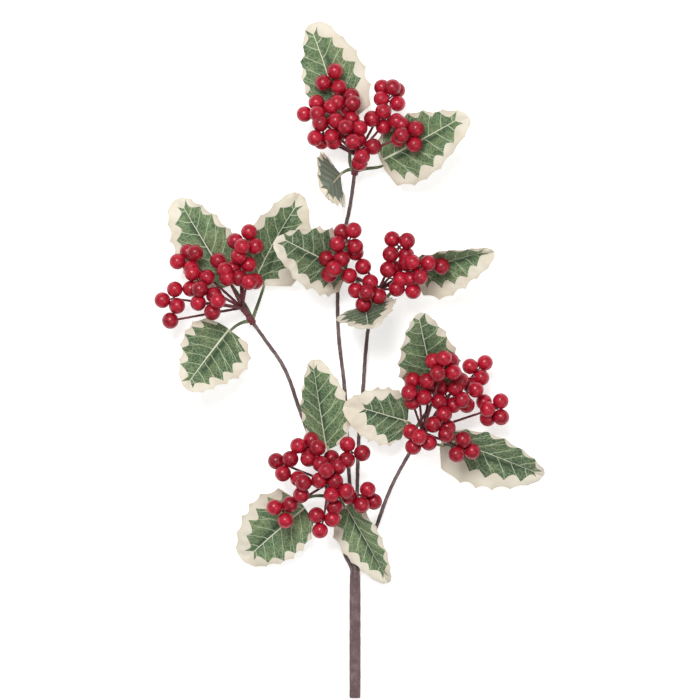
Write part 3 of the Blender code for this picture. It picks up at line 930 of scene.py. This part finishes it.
FORK = stem_fork()


def direction(heading: float, pitch: float) -> Vector:
    """Return the unit vector at a heading in plan and a pitch above the table, both in degrees."""
    heading, pitch = math.radians(heading), math.radians(pitch)
    return Vector((math.cos(pitch) * math.cos(heading), math.cos(pitch) * math.sin(heading), math.sin(pitch)))


def smooth_step(value: float, low: float, high: float) -> float:
    """Return the smooth step from 0 at low to 1 at high."""
    share = min(max((value - low) / (high - low), 0.0), 1.0)
    return share * share * (3.0 - 2.0 * share)


def store_values(mesh: Mesh, name: str, values: Sequence, kind: str = "FLOAT") -> None:
    """Store a number or a vector for each vertex.

    Args:
        mesh: The mesh.
        name: The attribute's name.
        values: What each vertex gets.
        kind: FLOAT or FLOAT_VECTOR.
    """
    stored = mesh.attributes.new(name, kind, "POINT")
    stored.data.foreach_set("value" if kind == "FLOAT" else "vector", np.array(values, np.float32).ravel())


def join_meshes(name: str, meshes: Sequence[Mesh]) -> Mesh:
    """Join meshes, each keeping its own materials and attributes.

    Args:
        name: The new mesh's name.
        meshes: The meshes, all in place.

    Returns:
        The joined mesh.
    """
    holders = [link(f"{name}_{index}", mesh) for index, mesh in enumerate(meshes)]
    with bpy.context.temp_override(active_object=holders[0], selected_editable_objects=holders):
        bpy.ops.object.join()
    joined = holders[0].data
    bpy.data.objects.remove(holders[0], do_unlink=True)
    return joined


def add_piece(name: str, mesh: Mesh, stands_for: Sequence[str]) -> None:
    """Add a finished mesh to the scene as a piece that rides on the only body.

    Args:
        name: The piece's name.
        mesh: Its mesh, in place.
        stands_for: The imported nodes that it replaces.
    """
    mesh.name = name
    piece = link(name, mesh)
    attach(piece, BODY)
    if stands_for:
        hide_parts(*stands_for)
    LOG.info("%s: %d faces", name, len(mesh.polygons))


# Leaves -----------------------------------------------------------------------------------------------


class Half(Enum):
    """The two halves of a blade, by the sign of their across values."""

    LEFT = 1.0
    RIGHT = -1.0


@dataclass
class HollyLeaf:
    """A cut cloth leaf with an off-register print, a moulded rib under it and gentle relief."""

    head: HeadPlan
    plan: LeafPlan
    draw: random.Random
    full_length: float = 90.0
    full_half: float = 30.0
    thickness: float = 0.45
    clearance: float = 0.1
    arc_steps: int = 24
    cut_spines: tuple[tuple[float, ...], ...] = (
        (0.04, 0.19, 0.35, 0.51, 0.67, 0.82, 0.94), (0.07, 0.25, 0.42, 0.58, 0.74, 0.89),
    )
    spine_reach: float = 1.03
    scallop: float = 0.09
    taper: float = 0.2
    wander: float = 0.016
    print_spines: tuple[Pair, ...] = (
        (0.03, 0.52), (0.17, 0.88), (0.34, 1.03), (0.51, 1.0), (0.68, 0.84), (0.84, 0.58), (1.0, 0.22),
    )
    print_notch: float = 0.25
    print_stretch: float = 1.03
    # half width of the painted shade along the fold, in millimetres
    crease_shade_half: float = 2.2
    grid: float = 1.9
    fold_radius: float = 1.6
    camber: float = 1.3
    pucker: float = 0.45
    calm_edge: float = 0.85
    curl: float = 3.0
    curl_waves: Pair = (5.0, 2.5)
    sway: float = 2.0
    sway_waves: Pair = (1.6, 0.9)
    rib_reach: float = 0.62
    rib_radii: Pair = (1.2, 0.45)
    rib_steps: int = 12
    rib_winding: Winding = Winding(8, 1.5)

    def __post_init__(self) -> None:
        """Work out the frames along the midrib, draw the spines' places and lay the print."""
        plan = self.plan
        self.name = f"{self.head.name}_leaf_{plan.name}"
        self.long, self.half = self.full_length * plan.length, self.full_half * plan.width
        self.stations = []
        point = Vector(plan.base)
        for index in range(self.arc_steps + 1):
            share = index / self.arc_steps
            heading = plan.heading + plan.sweep * share
            forward = direction(heading, plan.pitch - plan.bend * share)
            side = Matrix.Rotation(math.radians(plan.roll), 3, forward) @ direction(heading + 90.0, 0.0)
            self.stations.append((point.copy(), forward, side, forward.cross(side)))
            point += forward * (self.long / self.arc_steps)
        self.spines = [[share + self.draw.uniform(-self.wander, self.wander) for share in shares]
                       for shares in self.cut_spines]
        self.seed = self.draw.uniform(0.0, 50.0)
        scale = Vector((self.long, self.half))
        self.print_base = Vector(plan.print.base) * scale
        self.print_span = Vector(plan.print.tip) * scale - self.print_base
        across = Vector((-self.print_span.y, self.print_span.x)).normalized()
        self.print_side = across * plan.print.reach * self.print_stretch * scale.y

    def half_width(self, share: float) -> float:
        """Find the blade's half width.

        Args:
            share: Share of the blade's length.

        Returns:
            The half width, as a share of the widest.
        """
        if not 0.0 < share < 1.0:
            return 0.0
        return math.sin(math.pi * share**0.7) ** 0.42 * (1.0 - self.taper * smooth_step(share, 0.45, 1.0))

    def edge_share(self, along: float, across: float) -> float:
        """Return how near a place lies to the cut edge: 0 on the midrib and 1 at the edge."""
        return abs(across) / max(self.half_width(along), 0.15)

    def cut_outline(self) -> list[Pair]:
        """Draw the cut edge: hollow scallops between small spines.

        Returns:
            Its points, as (along, across).
        """
        edges = []
        for half, stations in zip(Half, self.spines):
            edge = []
            for here, after in zip(stations, [*stations[1:], 1.0]):
                deep = self.spine_reach - 1.0 + self.scallop * self.draw.uniform(0.35, 1.3)
                for share in (step / 8 for step in range(8)):
                    along = here + (after - here) * share
                    depth = self.spine_reach - deep * (1.0 - (2.0 * share - 1.0) ** 2)
                    edge.append((along, half.value * self.half_width(along) * depth))
            edges.append(edge)
        return [(0.0, 0.1), *edges[0], (1.0, 0.0), *reversed(edges[1]), (0.0, -0.1)]

    def print_outline(self) -> list[Pair]:
        """Draw the print's edge: sharp teeth, two of them at the tip.

        Returns:
            Its points, as (along, across).
        """
        edges = []
        for half in Half:
            teeth = [(share + self.draw.uniform(-0.02, 0.02), width * self.draw.uniform(0.94, 1.06))
                     for share, width in self.print_spines]
            edge = []
            for (here, wide), (after, next_wide) in zip(teeth, teeth[1:]):
                depth = self.print_notch * self.draw.uniform(0.75, 1.2)
                for share in (step / 6 for step in range(6)):
                    hollow = 1.0 - abs(2.0 * share**0.8 - 1.0) ** 1.35
                    across = wide + (next_wide - wide) * share - depth * hollow
                    edge.append((here + (after - here) * share, half.value * across))
            edges.append([*edge, (1.0, half.value * teeth[-1][1])])
        outline = [(0.0, 0.0), *edges[0], (0.93, 0.0), *reversed(edges[1])]
        flat = [self.print_base + self.print_span * share + self.print_side * width
                for share, width in outline]
        return [(place.x / self.long, place.y / self.half) for place in flat]

    def print_map(self, along: float, across: float) -> Pair:
        """Find a place on the print's own map.

        Args:
            along: Share of the blade's length.
            across: Share of the full half width, positive on the left.

        Returns:
            The shares of the print's length and, from the right, of its width.
        """
        flat = Vector((along * self.long, across * self.half)) - self.print_base
        span, side = self.print_span, self.print_side
        return flat.dot(span) / span.length_squared, flat.dot(side) / side.length_squared / 2 + 0.5

    def pleat(self, along: float, across: float) -> float:
        """Return how high the cloth stands between two moulded side veins, from -1 to 1."""
        return -math.cos(math.tau * VEINS.phase(along, abs(across), across > 0))

    def crease_shade(self, along: float, across: float) -> float:
        """Return how much painted shade darkens the cloth in the moulded fold, from 0 to 1."""
        near = math.exp(-(((across - self.plan.print.crease_shade) * self.half / self.crease_shade_half) ** 2))
        return near * smooth_step(along, 0.02, 0.2) * (1.0 - smooth_step(along, 0.6, 0.9))

    def surface(self, along: float, across: float) -> Vector:
        """Find a point of the cloth's middle surface.

        Args:
            along: Share of the blade's length.
            across: Share of the full half width, positive on the left.

        Returns:
            The point, in millimetres from the fork.
        """
        place = min(max(along, 0.0), 1.0) * self.arc_steps
        index = min(int(place), self.arc_steps - 1)
        stations = zip(self.stations[index], self.stations[index + 1])
        point, _, side, up = (here.lerp(there, place - index) for here, there in stations)
        reach = abs(across) * self.half
        rise = math.radians(self.plan.fold)
        edge = self.edge_share(along, across)
        height = (math.hypot(reach, self.fold_radius) - self.fold_radius) * math.sin(rise)
        height += self.camber * math.sin(math.pi * min(edge, 1.0))
        calm = 1.0 - self.calm_edge * smooth_step(edge, 0.5, 0.9)
        height += self.pucker * self.pleat(along, across) * smooth_step(reach, 1.0, 8.0) * calm
        flat = Vector((along, across))
        curl = noise.noise(Vector((*flat * Vector(self.curl_waves), self.seed)))
        height += self.curl * smooth_step(edge, 0.55, 1.05) * curl
        height += self.sway * noise.noise(Vector((*flat * Vector(self.sway_waves), self.seed + 9.0)))
        where = point + side * math.copysign(reach * math.cos(rise), across) + up * height
        where.z = max(where.z, self.thickness / 2 + self.clearance)
        return where

    def inner_places(self, borders: Sequence[np.ndarray]) -> list[Pair]:
        """Lay a staggered grid of places inside the blade.

        Args:
            borders: The cut edge and the print's edge. The places keep clear of them and of the midrib.

        Returns:
            The places, as (along, across).
        """
        steps = np.array([self.grid / self.long, self.grid * 0.87 / self.half])
        rows, columns = int(1.1 / steps[1]), int(1.0 / steps[0]) + 1
        points = np.array([(column + 0.5 * (row % 2), row) for row in range(-rows, rows + 1)
                           for column in range(columns)]) * steps
        points = points[inside(points, borders[0])]
        for border in borders:
            points = points[segment_distance(points / steps, border / steps) > 0.55]
        return [tuple(point) for point in points if abs(point[1]) * self.full_half > 0.6]

    def blade(self) -> Mesh:
        """Make the cloth as an open sheet of triangles fitted to the cut, the print and the midrib.

        Returns:
            The sheet, with its print's map and what its finishes read.
        """
        cut, printed = self.cut_outline(), self.print_outline()
        outline, border = np.array(cut), np.array(printed)
        ribs = [(step / 60, 0.0) for step in range(60)]
        places = [*cut, *printed, *ribs, *self.inner_places([outline, border])]
        ring = range(len(cut), len(cut) + len(printed))
        rib_line = [*range(ring.stop, ring.stop + len(ribs)), cut.index((1.0, 0.0))]
        edges = [*zip(rib_line, rib_line[1:]), *zip(ring, [*ring[1:], ring[0]])]
        rim = [list(range(len(cut)))]
        points, _, faces, *_ = delaunay_2d_cdt([Vector(place) for place in places], edges, rim, 0, 1e-7)
        flat = np.array([tuple(point) for point in points])
        corners = np.array([face for face in faces if len(face) == 3])
        corners = corners[inside(flat[corners].mean(axis=1), outline)]
        mesh = bpy.data.meshes.new(self.name)
        mesh.from_pydata([FORK + self.surface(*place) * MM for place in flat], [], corners.tolist())
        green = inside(flat[corners].mean(axis=1), border)
        mesh.polygons.foreach_set("material_index", np.where(green, 0, 1).astype(np.int32))
        mapped = np.array([self.print_map(*place) for place in flat], np.float32)
        loops = np.zeros(len(mesh.loops), np.int32)
        mesh.loops.foreach_get("vertex_index", loops)
        mesh.uv_layers.new(name="print").uv.foreach_set("vector", mapped[loops].ravel())
        store_values(mesh, "edge", [smooth_step(self.edge_share(*place), 0.8, 1.05) for place in flat])
        # painted shade of the moulded fold, read by the print's finish
        store_values(mesh, "crease_shade", [self.crease_shade(*place) for place in flat])
        store_values(mesh, "pleat", [self.pleat(*place) for place in flat])
        # how much darker this leaf's whole green is made
        store_values(mesh, "shade", [self.plan.print.shade] * len(flat))
        mesh.validate()
        return mesh

    def thicken(self, mesh: Mesh, finishes: Sequence[Material]) -> Mesh:
        """Make a thin sheet of an open mesh.

        Args:
            mesh: The mesh.
            finishes: The fronts' finishes and then the backs'.

        Returns:
            The sheet.
        """
        for finish in finishes:
            mesh.materials.append(finish)
        holder = link(self.name + "_sheet", mesh)
        sheet = holder.modifiers.new("cloth", "SOLIDIFY")
        sheet.thickness, sheet.offset, sheet.material_offset = self.thickness * MM, 0.0, 2
        sheet.use_quality_normals = True
        made = plain_mesh(holder)
        made.shade_smooth()
        made.set_sharp_from_angle(angle=math.radians(50.0))
        return made

    def rib(self, tubes: TubeTool, finish: Material) -> Mesh:
        """Make the moulded rib bonded under the midrib, thinning towards the tip.

        Args:
            tubes: The tool that makes it.
            finish: Its material.

        Returns:
            The rib.
        """
        points, radii = [], []
        thick, thin = self.rib_radii
        for share in (step / self.rib_steps for step in range(self.rib_steps + 1)):
            along, radius = self.rib_reach * share, thick + (thin - thick) * share
            up = self.stations[int(along * self.arc_steps)][3]
            point = self.surface(along, 0.0) - up * (radius * 0.7 + self.thickness / 2)
            point.z = max(point.z, radius + 0.1)
            points.append(point)
            radii.append(radius)
        return tubes.make(self.name + "_rib", [(points, radii)], finish, self.rib_winding)

    def build(self, finishes: Sequence[Material], tubes: TubeTool) -> None:
        """Build and dress the leaf.

        Args:
            finishes: Print, cream, back of the print, back of the cream, rib.
            tubes: The tool that makes its rib.
        """
        cloth = self.thicken(tidy_sheet(self.blade()), finishes[:4])
        joined = join_meshes(self.name, [cloth, self.rib(tubes, finishes[4])])
        add_piece(self.name + "_cloth", joined, [self.name])


def inside(points: np.ndarray, outline: np.ndarray) -> np.ndarray:
    """Tell which points lie inside an outline.

    Args:
        points: The points, a row each.
        outline: The closed outline's points, a row each.

    Returns:
        True for each point inside.
    """
    starts, ends = outline, np.roll(outline, -1, axis=0)
    x, y = points[:, :1], points[:, 1:]
    crosses = (starts[:, 1] > y) != (ends[:, 1] > y)
    rise = np.where(ends[:, 1] == starts[:, 1], 1.0, ends[:, 1] - starts[:, 1])
    at = starts[:, 0] + (y - starts[:, 1]) / rise * (ends[:, 0] - starts[:, 0])
    return (crosses & (x < at)).sum(axis=1) % 2 == 1


def segment_distance(points: np.ndarray, outline: np.ndarray) -> np.ndarray:
    """Measure each point's distance to an outline.

    Args:
        points: The points, a row each.
        outline: The closed outline's points, a row each.

    Returns:
        The distances.
    """
    along = np.roll(outline, -1, axis=0) - outline
    length = np.maximum((along**2).sum(axis=1), 1e-12)
    offset = points[:, None] - outline
    share = np.clip((offset * along).sum(axis=2) / length, 0.0, 1.0)
    return np.sqrt(((offset - share[..., None] * along) ** 2).sum(axis=2).min(axis=1))


def tidy_sheet(mesh: Mesh) -> Mesh:
    """Remove loose points and slivers from an open mesh.

    Args:
        mesh: The mesh.

    Returns:
        The same mesh.
    """
    bm = bmesh.new()
    bm.from_mesh(mesh)
    bmesh.ops.delete(bm, geom=[vert for vert in bm.verts if not vert.link_faces], context="VERTS")
    bmesh.ops.dissolve_degenerate(bm, edges=bm.edges, dist=0.02 * MM)
    bmesh.ops.triangulate(bm, faces=[face for face in bm.faces if len(face.verts) > 3])
    bm.to_mesh(mesh)
    bm.free()
    return mesh


# Berry picks ------------------------------------------------------------------------------------------


@dataclass
class BerryPick:
    """A taped trunk on a branch's tip, a twig to each bunch and lacquered beads on short stalks."""

    head: HeadPlan
    number: int
    leaves: BVHTree
    heart_reach: float = 13.0
    past_collar: float = 5.5
    berry_radius: float = 7.0
    crown_height: float = 56.0
    crown_fall: float = 30.0
    head_reach: float = 75.0
    axis_rise: float = 86.0
    axis_spread: float = 24.0
    clearance: float = 0.6
    lift_step: float = 1.0
    most_lift: float = 45.0
    turn_spread: float = 8.0
    trunk_radii: tuple[float, ...] = (1.7, 2.1, 2.4, 1.4)
    trunk_winding: Winding = Winding(14, 0.7, 3.2, 0.45, 0.8, 4.0)
    twig_radius: float = 0.85
    twig_steps: int = 6
    twig_bow: tuple[Pair, Pair] = ((0.6, 0.15), (0.9, 0.6))
    twig_winding: Winding = Winding(8, 1.6, 5.0, 0.16, 0.3, 6.0)
    stalk_radius: float = 0.62
    stalk_winding: Winding = Winding(6, 1.6)
    wire_radius: float = 0.55
    wire_lean: Point = (0.55, 0.75, 0.45)

    def ring(self, count: int) -> list[Point]:
        """Lay berries round a twig's end.

        Args:
            count: How many berries.

        Returns:
            Each berry's distance, turn in degrees and rise, with lengths in berry radii.
        """
        if count == 5:
            return [(1.42, 90.0 * place, 0.0) for place in range(4)] + [(0.2, 0.0, 1.35)]
        radius = {1: 0.0, 2: 1.0, 3: 1.16, 4: 1.29}[count]
        wave = 0.42 if count == 4 else 0.0
        return [(radius, 360.0 * place / count, wave * (-1) ** place) for place in range(count)]

    def settle(self, heart: Vector, bunch: BunchPlan,
               draw: random.Random) -> tuple[Vector, Vector, list[Vector]]:
        """Place one bunch on the dome of the head, lifted until it clears the leaves below.

        Args:
            heart: The trunk's end.
            bunch: The bunch's plan.
            draw: The head's random draws.

        Returns:
            The bunch's middle, its outward axis and its berries' middles.
        """
        share = math.hypot(bunch.east, bunch.north) / self.head_reach
        heading = math.atan2(bunch.north, bunch.east)
        axis = direction(math.degrees(heading), self.axis_rise - self.axis_spread * share - bunch.lean)
        level = direction(math.degrees(heading) + 90.0, 0.0)
        outward = level.cross(axis)
        height = self.crown_height - self.crown_fall * share**1.5 - bunch.drop
        middle = Vector((heart.x + bunch.east, heart.y + bunch.north, height))
        centres = []
        for radius, angle, rise in self.ring(bunch.berries):
            angle += bunch.turn + draw.uniform(-self.turn_spread, self.turn_spread)
            angle = math.radians(angle) - heading
            offset = outward * radius * math.cos(angle) + level * radius * math.sin(angle) + axis * rise
            centres.append(middle + offset * self.berry_radius)
        lift = Vector((0.0, 0.0, 0.0))
        while lift.z < self.most_lift:
            gaps = [self.leaves.find_nearest(FORK + (centre + lift) * MM)[3] / MM for centre in centres]
            if min(gaps) > self.berry_radius + self.clearance:
                break
            lift.z += self.lift_step
        return middle + lift, axis, [centre + lift for centre in centres]

    def build(self, tape: Material, lacquer: Material, tubes: TubeTool, beads: BeadTool) -> None:
        """Build and dress the twigs and the berries.

        Args:
            tape: The twigs' finish.
            lacquer: The berries' finish.
            tubes: The tool that makes the twigs.
            beads: The tool that makes the berries.
        """
        draw = random.Random(SEED + self.number)
        collar, forward = self.head.collar()
        heart = collar + forward * self.heart_reach
        outwards, onwards, upwards = self.wire_lean
        twigs, stalks, centres, axes = [], [], [], []
        for bunch in self.head.bunches:
            middle, axis, berries = self.settle(heart, bunch, draw)
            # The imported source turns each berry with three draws, so they are drawn here too.
            for _ in range(3 * len(berries)):
                draw.uniform(0.0, math.tau)
            alone = len(berries) == 1
            knot = middle - axis * self.berry_radius * (0.8 if alone else 0.9)
            rise = Vector((0.0, 0.0, knot.z - heart.z))
            across = Vector((bunch.east, bunch.north, 0.0))
            bows = [heart + rise * up + across * aside for up, aside in self.twig_bow]
            points = interpolate_bezier(heart, *bows, knot, self.twig_steps + 1)
            twigs.append((points, [self.twig_radius * (1.35 - 0.35 * place / self.twig_steps)
                                   for place in range(len(points))]))
            for berry in berries:
                away = axis if alone else (berry - middle).normalized()
                outward = (away * outwards + axis * onwards + Vector((0.0, 0.0, upwards))).normalized()
                centres.append(berry)
                axes.append(outward)
                if not alone:
                    foot = berry - outward * self.berry_radius * 0.85
                    stalks.append(([knot - axis * 0.5, knot.lerp(foot, 0.5) + away * 0.4, foot],
                                   [self.stalk_radius * 1.5, self.stalk_radius, self.stalk_radius]))
        trunk = [collar + forward * reach for reach in
                 (self.past_collar - 2.0, self.past_collar + 2.5, self.heart_reach, self.heart_reach + 2.0)]
        name = f"{self.head.name}_berries"
        parts = [
            tubes.make(name + "_trunk", [(trunk, self.trunk_radii)], tape, self.trunk_winding, self.number),
            tubes.make(name + "_twigs", twigs, tape, self.twig_winding, self.number),
            tubes.make(name + "_stalks", stalks, tape, self.stalk_winding),
        ]
        add_piece(f"{self.head.name}_twigs", join_meshes(name + "_twigs", parts), [])
        mesh = beads.make(name + "_beads", centres, axes, {
            "Radius": self.berry_radius * MM, "Segments": 24, "Rings": 14, "Size Spread": 0.03,
            "Wire Radius": self.wire_radius * MM, "Seed": SEED + self.number, "Material": lacquer,
        })
        add_piece(f"{self.head.name}_beads", mesh, [name])


# Whorls, branches and the main stem ----------------------------------------------------------------------


@dataclass
class Whorl:
    """A moulded sleeve on the branch with a petiole to each leaf."""

    head: HeadPlan
    collar_radius: float = 3.0
    collar_length: float = 8.0
    sleeve_winding: Winding = Winding(16, 0.6, 3.6, 0.35, 0.7, 3.0)
    petiole_radius: float = 1.25
    petiole_root: float = 2.45
    petiole_gap: float = 0.6
    petiole_knee: Pair = (0.6, 0.4)
    petiole_steps: int = 9
    petiole_winding: Winding = Winding(10, 1.2, 9.0, 0.0, 0.25, 6.0)
    profile: tuple[Pair, ...] = ((-1.0, 0.7), (-0.9, 0.92), (-0.55, 1.0), (-0.35, 0.9), (-0.1, 1.02),
                                 (0.25, 1.0), (0.4, 0.88), (0.6, 0.98), (0.9, 0.9), (1.0, 0.68))

    def petiole(self, leaf: LeafPlan) -> Strand:
        """Run a petiole from the sleeve to a blade.

        Args:
            leaf: The leaf's plan.

        Returns:
            The petiole's points and radii.
        """
        collar, forward = self.head.collar()
        growth = direction(leaf.heading, leaf.pitch)
        end = Vector(leaf.base) - growth * self.petiole_gap
        spread = (end - collar).length
        aside = ((end - collar) - forward * (end - collar).dot(forward)).normalized()
        start = collar + aside * self.petiole_root
        out, on = self.petiole_knee
        knee = start + (aside * out + forward * on) * spread * 0.4
        points = interpolate_bezier(start, knee, end - growth * spread * 0.35, end, self.petiole_steps)
        points.append(end + growth * 3.0 - Vector((0.0, 0.0, 0.6)))
        return points, [self.petiole_radius * (1.3 - 0.4 * place / self.petiole_steps)
                        for place in range(len(points))]

    def build(self, finish: Material, tape: Material, tubes: TubeTool) -> None:
        """Build and dress the whorl, its sleeve hidden by tape.

        Args:
            finish: The petioles' finish.
            tape: The sleeve's finish.
            tubes: The tool that makes them.
        """
        collar, forward = self.head.collar()
        name = f"{self.head.name}_whorl"
        sleeve = ([collar + forward * (self.collar_length / 2 * place) for place, _ in self.profile],
                  [self.collar_radius * width for _, width in self.profile])
        petioles = [self.petiole(leaf) for leaf in self.head.leaves]
        parts = [
            tubes.make(name + "_sleeve", [sleeve], tape, self.sleeve_winding),
            tubes.make(name + "_petioles", petioles, finish, self.petiole_winding),
        ]
        add_piece(name + "_moulding", join_meshes(name, parts), [name])


@dataclass(frozen=True)
class StemRing:
    """The sockets in the main stem's top face."""

    axis_height: float = 4.4
    ring: float = 2.95

    def mouth(self, head: HeadPlan) -> Vector:
        """Return where a head's branch leaves the stem."""
        angle = math.radians(head.socket)
        return Vector((self.ring * math.cos(angle), 0.0, self.axis_height + self.ring * math.sin(angle)))


RING = StemRing()


@dataclass
class Branch:
    """A wire branch wound in brown paper tape."""

    head: HeadPlan
    number: int
    radius: float = 1.5
    winding: Winding = Winding(14, 0.9, 9.0, 0.22, 0.5, 9.0)
    sunk: float = 4.0
    straight: float = 4.0
    past_collar: float = 5.5

    def build(self, tape: Material, tubes: TubeTool) -> None:
        """Build and dress the branch.

        Args:
            tape: The branch's finish.
            tubes: The tool that makes it.
        """
        mouth = RING.mouth(self.head)
        collar, forward = self.head.collar()
        points = [mouth - Vector((0.0, self.sunk, 0.0)), mouth + Vector((0.0, self.straight, 0.0)),
                  *map(Vector, self.head.route), collar + forward * self.past_collar]
        name = f"{self.head.name}_branch"
        mesh = tubes.make(name, [(points, [self.radius] * len(points))], tape, self.winding, self.number)
        add_piece(name + "_tape", mesh, [name])


@dataclass
class MainStem:
    """The thick stem: tape wound over the five branches, which show as ridges near its top."""

    radius: float = 4.75
    length: float = 106.0
    ridge_radius: float = 1.7
    valley: float = 2.6
    blend: float = 18.0
    tape_pitch: float = 13.0
    tape_step: float = 0.12
    lump: float = 0.12
    lump_stretch: Pair = (1.3, 0.117)
    cut_round: Pair = (0.35, 1.2)
    top_round: Pair = (0.5, 1.5)
    around: int = 64
    rings: int = 106

    def ridges(self, angle: float) -> float:
        """Find how far out the tape lies over the branches, at the very top.

        Args:
            angle: The direction from the stem's axis, in radians.

        Returns:
            The distance from the axis.
        """
        reach = self.valley
        for head in HEADS:
            turn = angle - math.radians(head.socket)
            closest = RING.ring * math.sin(turn)
            if math.cos(turn) > 0 and abs(closest) < self.ridge_radius:
                reach = max(reach, RING.ring * math.cos(turn) + math.sqrt(self.ridge_radius**2 - closest**2))
        return reach

    def radius_at(self, up: float, turn: float) -> float:
        """Find the tape's distance from the axis.

        Args:
            up: How far the place is from the cut end.
            turn: Its share of a turn round the axis.

        Returns:
            The distance.
        """
        angle = math.tau * turn
        share = smooth_step(up, self.length - self.blend, self.length)
        radius = self.radius * (1.0 - share) + self.ridges(angle) * share
        for (depth, reach), gone in ((self.cut_round, up), (self.top_round, self.length - up)):
            radius -= depth * (1.0 - smooth_step(gone, 0.0, reach))
        radius += self.tape_step * ((up / self.tape_pitch + turn) % 1.0 - 0.5)
        around, along = self.lump_stretch
        where = Vector((math.cos(angle) * around, up * along, math.sin(angle) * around))
        return radius + self.lump * noise.noise(where)

    def build(self, tape: Material) -> None:
        """Build and dress the stem as a loft of rings from its cut end to its top.

        Args:
            tape: The stem's finish.
        """
        bm = bmesh.new()
        stored = bm.verts.layers.float_vector.new("round")
        loops = []
        for up in (self.length * index / self.rings for index in range(self.rings + 1)):
            loops.append([])
            for turn in (place / self.around for place in range(self.around)):
                x, z = math.cos(math.tau * turn), math.sin(math.tau * turn)
                radius = self.radius_at(up, turn)
                height = max(RING.axis_height + radius * z, 0.0)
                vert = bm.verts.new(FORK + Vector((radius * x, up - self.length, height)) * MM)
                vert[stored] = (x, z, up * MM)
                loops[-1].append(vert)
        for low, high in zip(loops, loops[1:]):
            for place in range(self.around):
                bm.faces.new((low[place - 1], low[place], high[place], high[place - 1]))
        bm.faces.new(loops[0])
        bm.faces.new(list(reversed(loops[-1])))
        bmesh.ops.recalc_face_normals(bm, faces=bm.faces)
        mesh = bpy.data.meshes.new("main_stem")
        bm.to_mesh(mesh)
        bm.free()
        mesh.shade_smooth()
        mesh.set_sharp_from_angle(angle=math.radians(60.0))
        mesh.materials.append(tape)
        add_piece("main_stem_tape", mesh, ["main_stem"])


# Studio ------------------------------------------------------------------------------------------------


@dataclass
class Studio:
    """A pale floor, soft light from above and a long lens that looks straight down."""

    view_side: float = 595.0
    view_middle: Point = (-4.25, 191.25, 0.0)
    distance: float = 6.0
    view_height: float = 0.035
    sensor: float = 36.0
    floor_half: float = 9.0
    sky: float = 0.42

    def __post_init__(self) -> None:
        """Find the middle of the view."""
        self.middle = FORK + Vector(self.view_middle) * MM

    def light(self, name: str, offset: Point, size: float, power: float) -> None:
        """Add a square soft light that points at the middle of the view.

        Args:
            name: The light's name.
            offset: Where it hangs from that middle, in metres.
            size: Its side, in metres.
            power: Its power, in watts.
        """
        data = bpy.data.lights.new(name, "AREA")
        data.shape, data.size, data.energy = "SQUARE", size, power
        lamp = link(name, data)
        lamp.location = self.middle + Vector(offset)
        lamp.rotation_mode = "QUATERNION"
        lamp.rotation_quaternion = (-Vector(offset)).to_track_quat("-Z", "Y")

    def build(self) -> None:
        """Set the world, the lights, the floor and the camera."""
        scene = bpy.context.scene
        scene.view_settings.view_transform = "Standard"
        scene.world = bpy.data.worlds.new("studio")
        scene.world.use_nodes = True
        sky = scene.world.node_tree
        Canvas(sky).plug(sky.nodes["Background"], {"Color": (1.0, 1.0, 1.0, 1.0), "Strength": self.sky})
        self.light("key", (-0.4, 1.1, 2.6), 1.1, 62.0)
        self.light("fill", (1.2, -0.8, 2.4), 1.6, 12.0)
        bm = bmesh.new()
        bmesh.ops.create_grid(bm, x_segments=1, y_segments=1, size=self.floor_half)
        mesh = bpy.data.meshes.new("floor")
        bm.to_mesh(mesh)
        bm.free()
        mesh.materials.append(FloorPaint().material())
        floor = link("floor", mesh)
        data = bpy.data.cameras.new("camera")
        data.sensor_width = self.sensor
        data.lens = self.sensor * (self.distance - self.view_height) / (self.view_side * MM)
        data.clip_start, data.clip_end = 0.1, 60.0
        scene.camera = link("camera", data)
        scene.camera.location = self.middle + Vector((0.0, 0.0, self.distance))


# The spray ----------------------------------------------------------------------------------------------


def leaf_tree() -> BVHTree:
    """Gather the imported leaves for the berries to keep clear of.

    Returns:
        One search tree over all of them.
    """
    points, faces = [], []
    for head in HEADS:
        for leaf in head.leaves:
            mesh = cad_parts[f"{head.name}_leaf_{leaf.name}"].data
            first = len(points)
            points += [vertex.co.copy() for vertex in mesh.vertices]
            faces += [[first + index for index in face.vertices] for face in mesh.polygons]
    return BVHTree.FromPolygons(points, faces)


def main() -> None:
    """Build the spray and its studio."""
    logging.basicConfig(level=logging.INFO, format="%(name)s: %(message)s")
    beige = srgb(206, 196, 164)
    bark, thick_bark, twig, moulding, lacquer, *cloth = (finish.material() for finish in (
        # after each tape's pitch comes the strength of its painted lap highlight and shade
        PaperTape("brown_tape", srgb(98, 81, 81), srgb(130, 113, 112), srgb(62, 47, 49), 9.0, 0.35, 40.0),
        PaperTape("stem_tape", srgb(104, 84, 85), srgb(128, 108, 109), srgb(72, 53, 56), 13.0, 0.2, 14.0),
        PaperTape("red_brown_tape", srgb(104, 48, 56), srgb(132, 76, 82), srgb(64, 24, 32), 5.0,
                  roughness=0.6),
        MouldedGreen(),
        Lacquer(),
        PrintedCloth(),
        CreamCloth(),
        # each back's second colour is its painted highlight on the pleats' ridges
        ClothBack("print_back", srgb(112, 122, 104), srgb(140, 146, 134), srgb(66, 82, 60)),
        ClothBack("cream_back", srgb(230, 220, 198), srgb(240, 232, 214), srgb(206, 192, 164)),
        MouldedGreen("moulded_rib", beige, srgb(186, 174, 140), beige),
    ))
    tubes, beads = TubeTool(), BeadTool()
    MainStem().build(thick_bark)
    leaves = leaf_tree()
    for number, head in enumerate(HEADS):
        Branch(head, number).build(bark, tubes)
        Whorl(head).build(moulding, twig, tubes)
        for order, plan in enumerate(head.leaves):
            HollyLeaf(head, plan, random.Random(SEED + 10 * number + order)).build(cloth, tubes)
        BerryPick(head, number, leaves).build(twig, lacquer, tubes, beads)
    Studio().build()


if __name__ == "__main__":
    main()
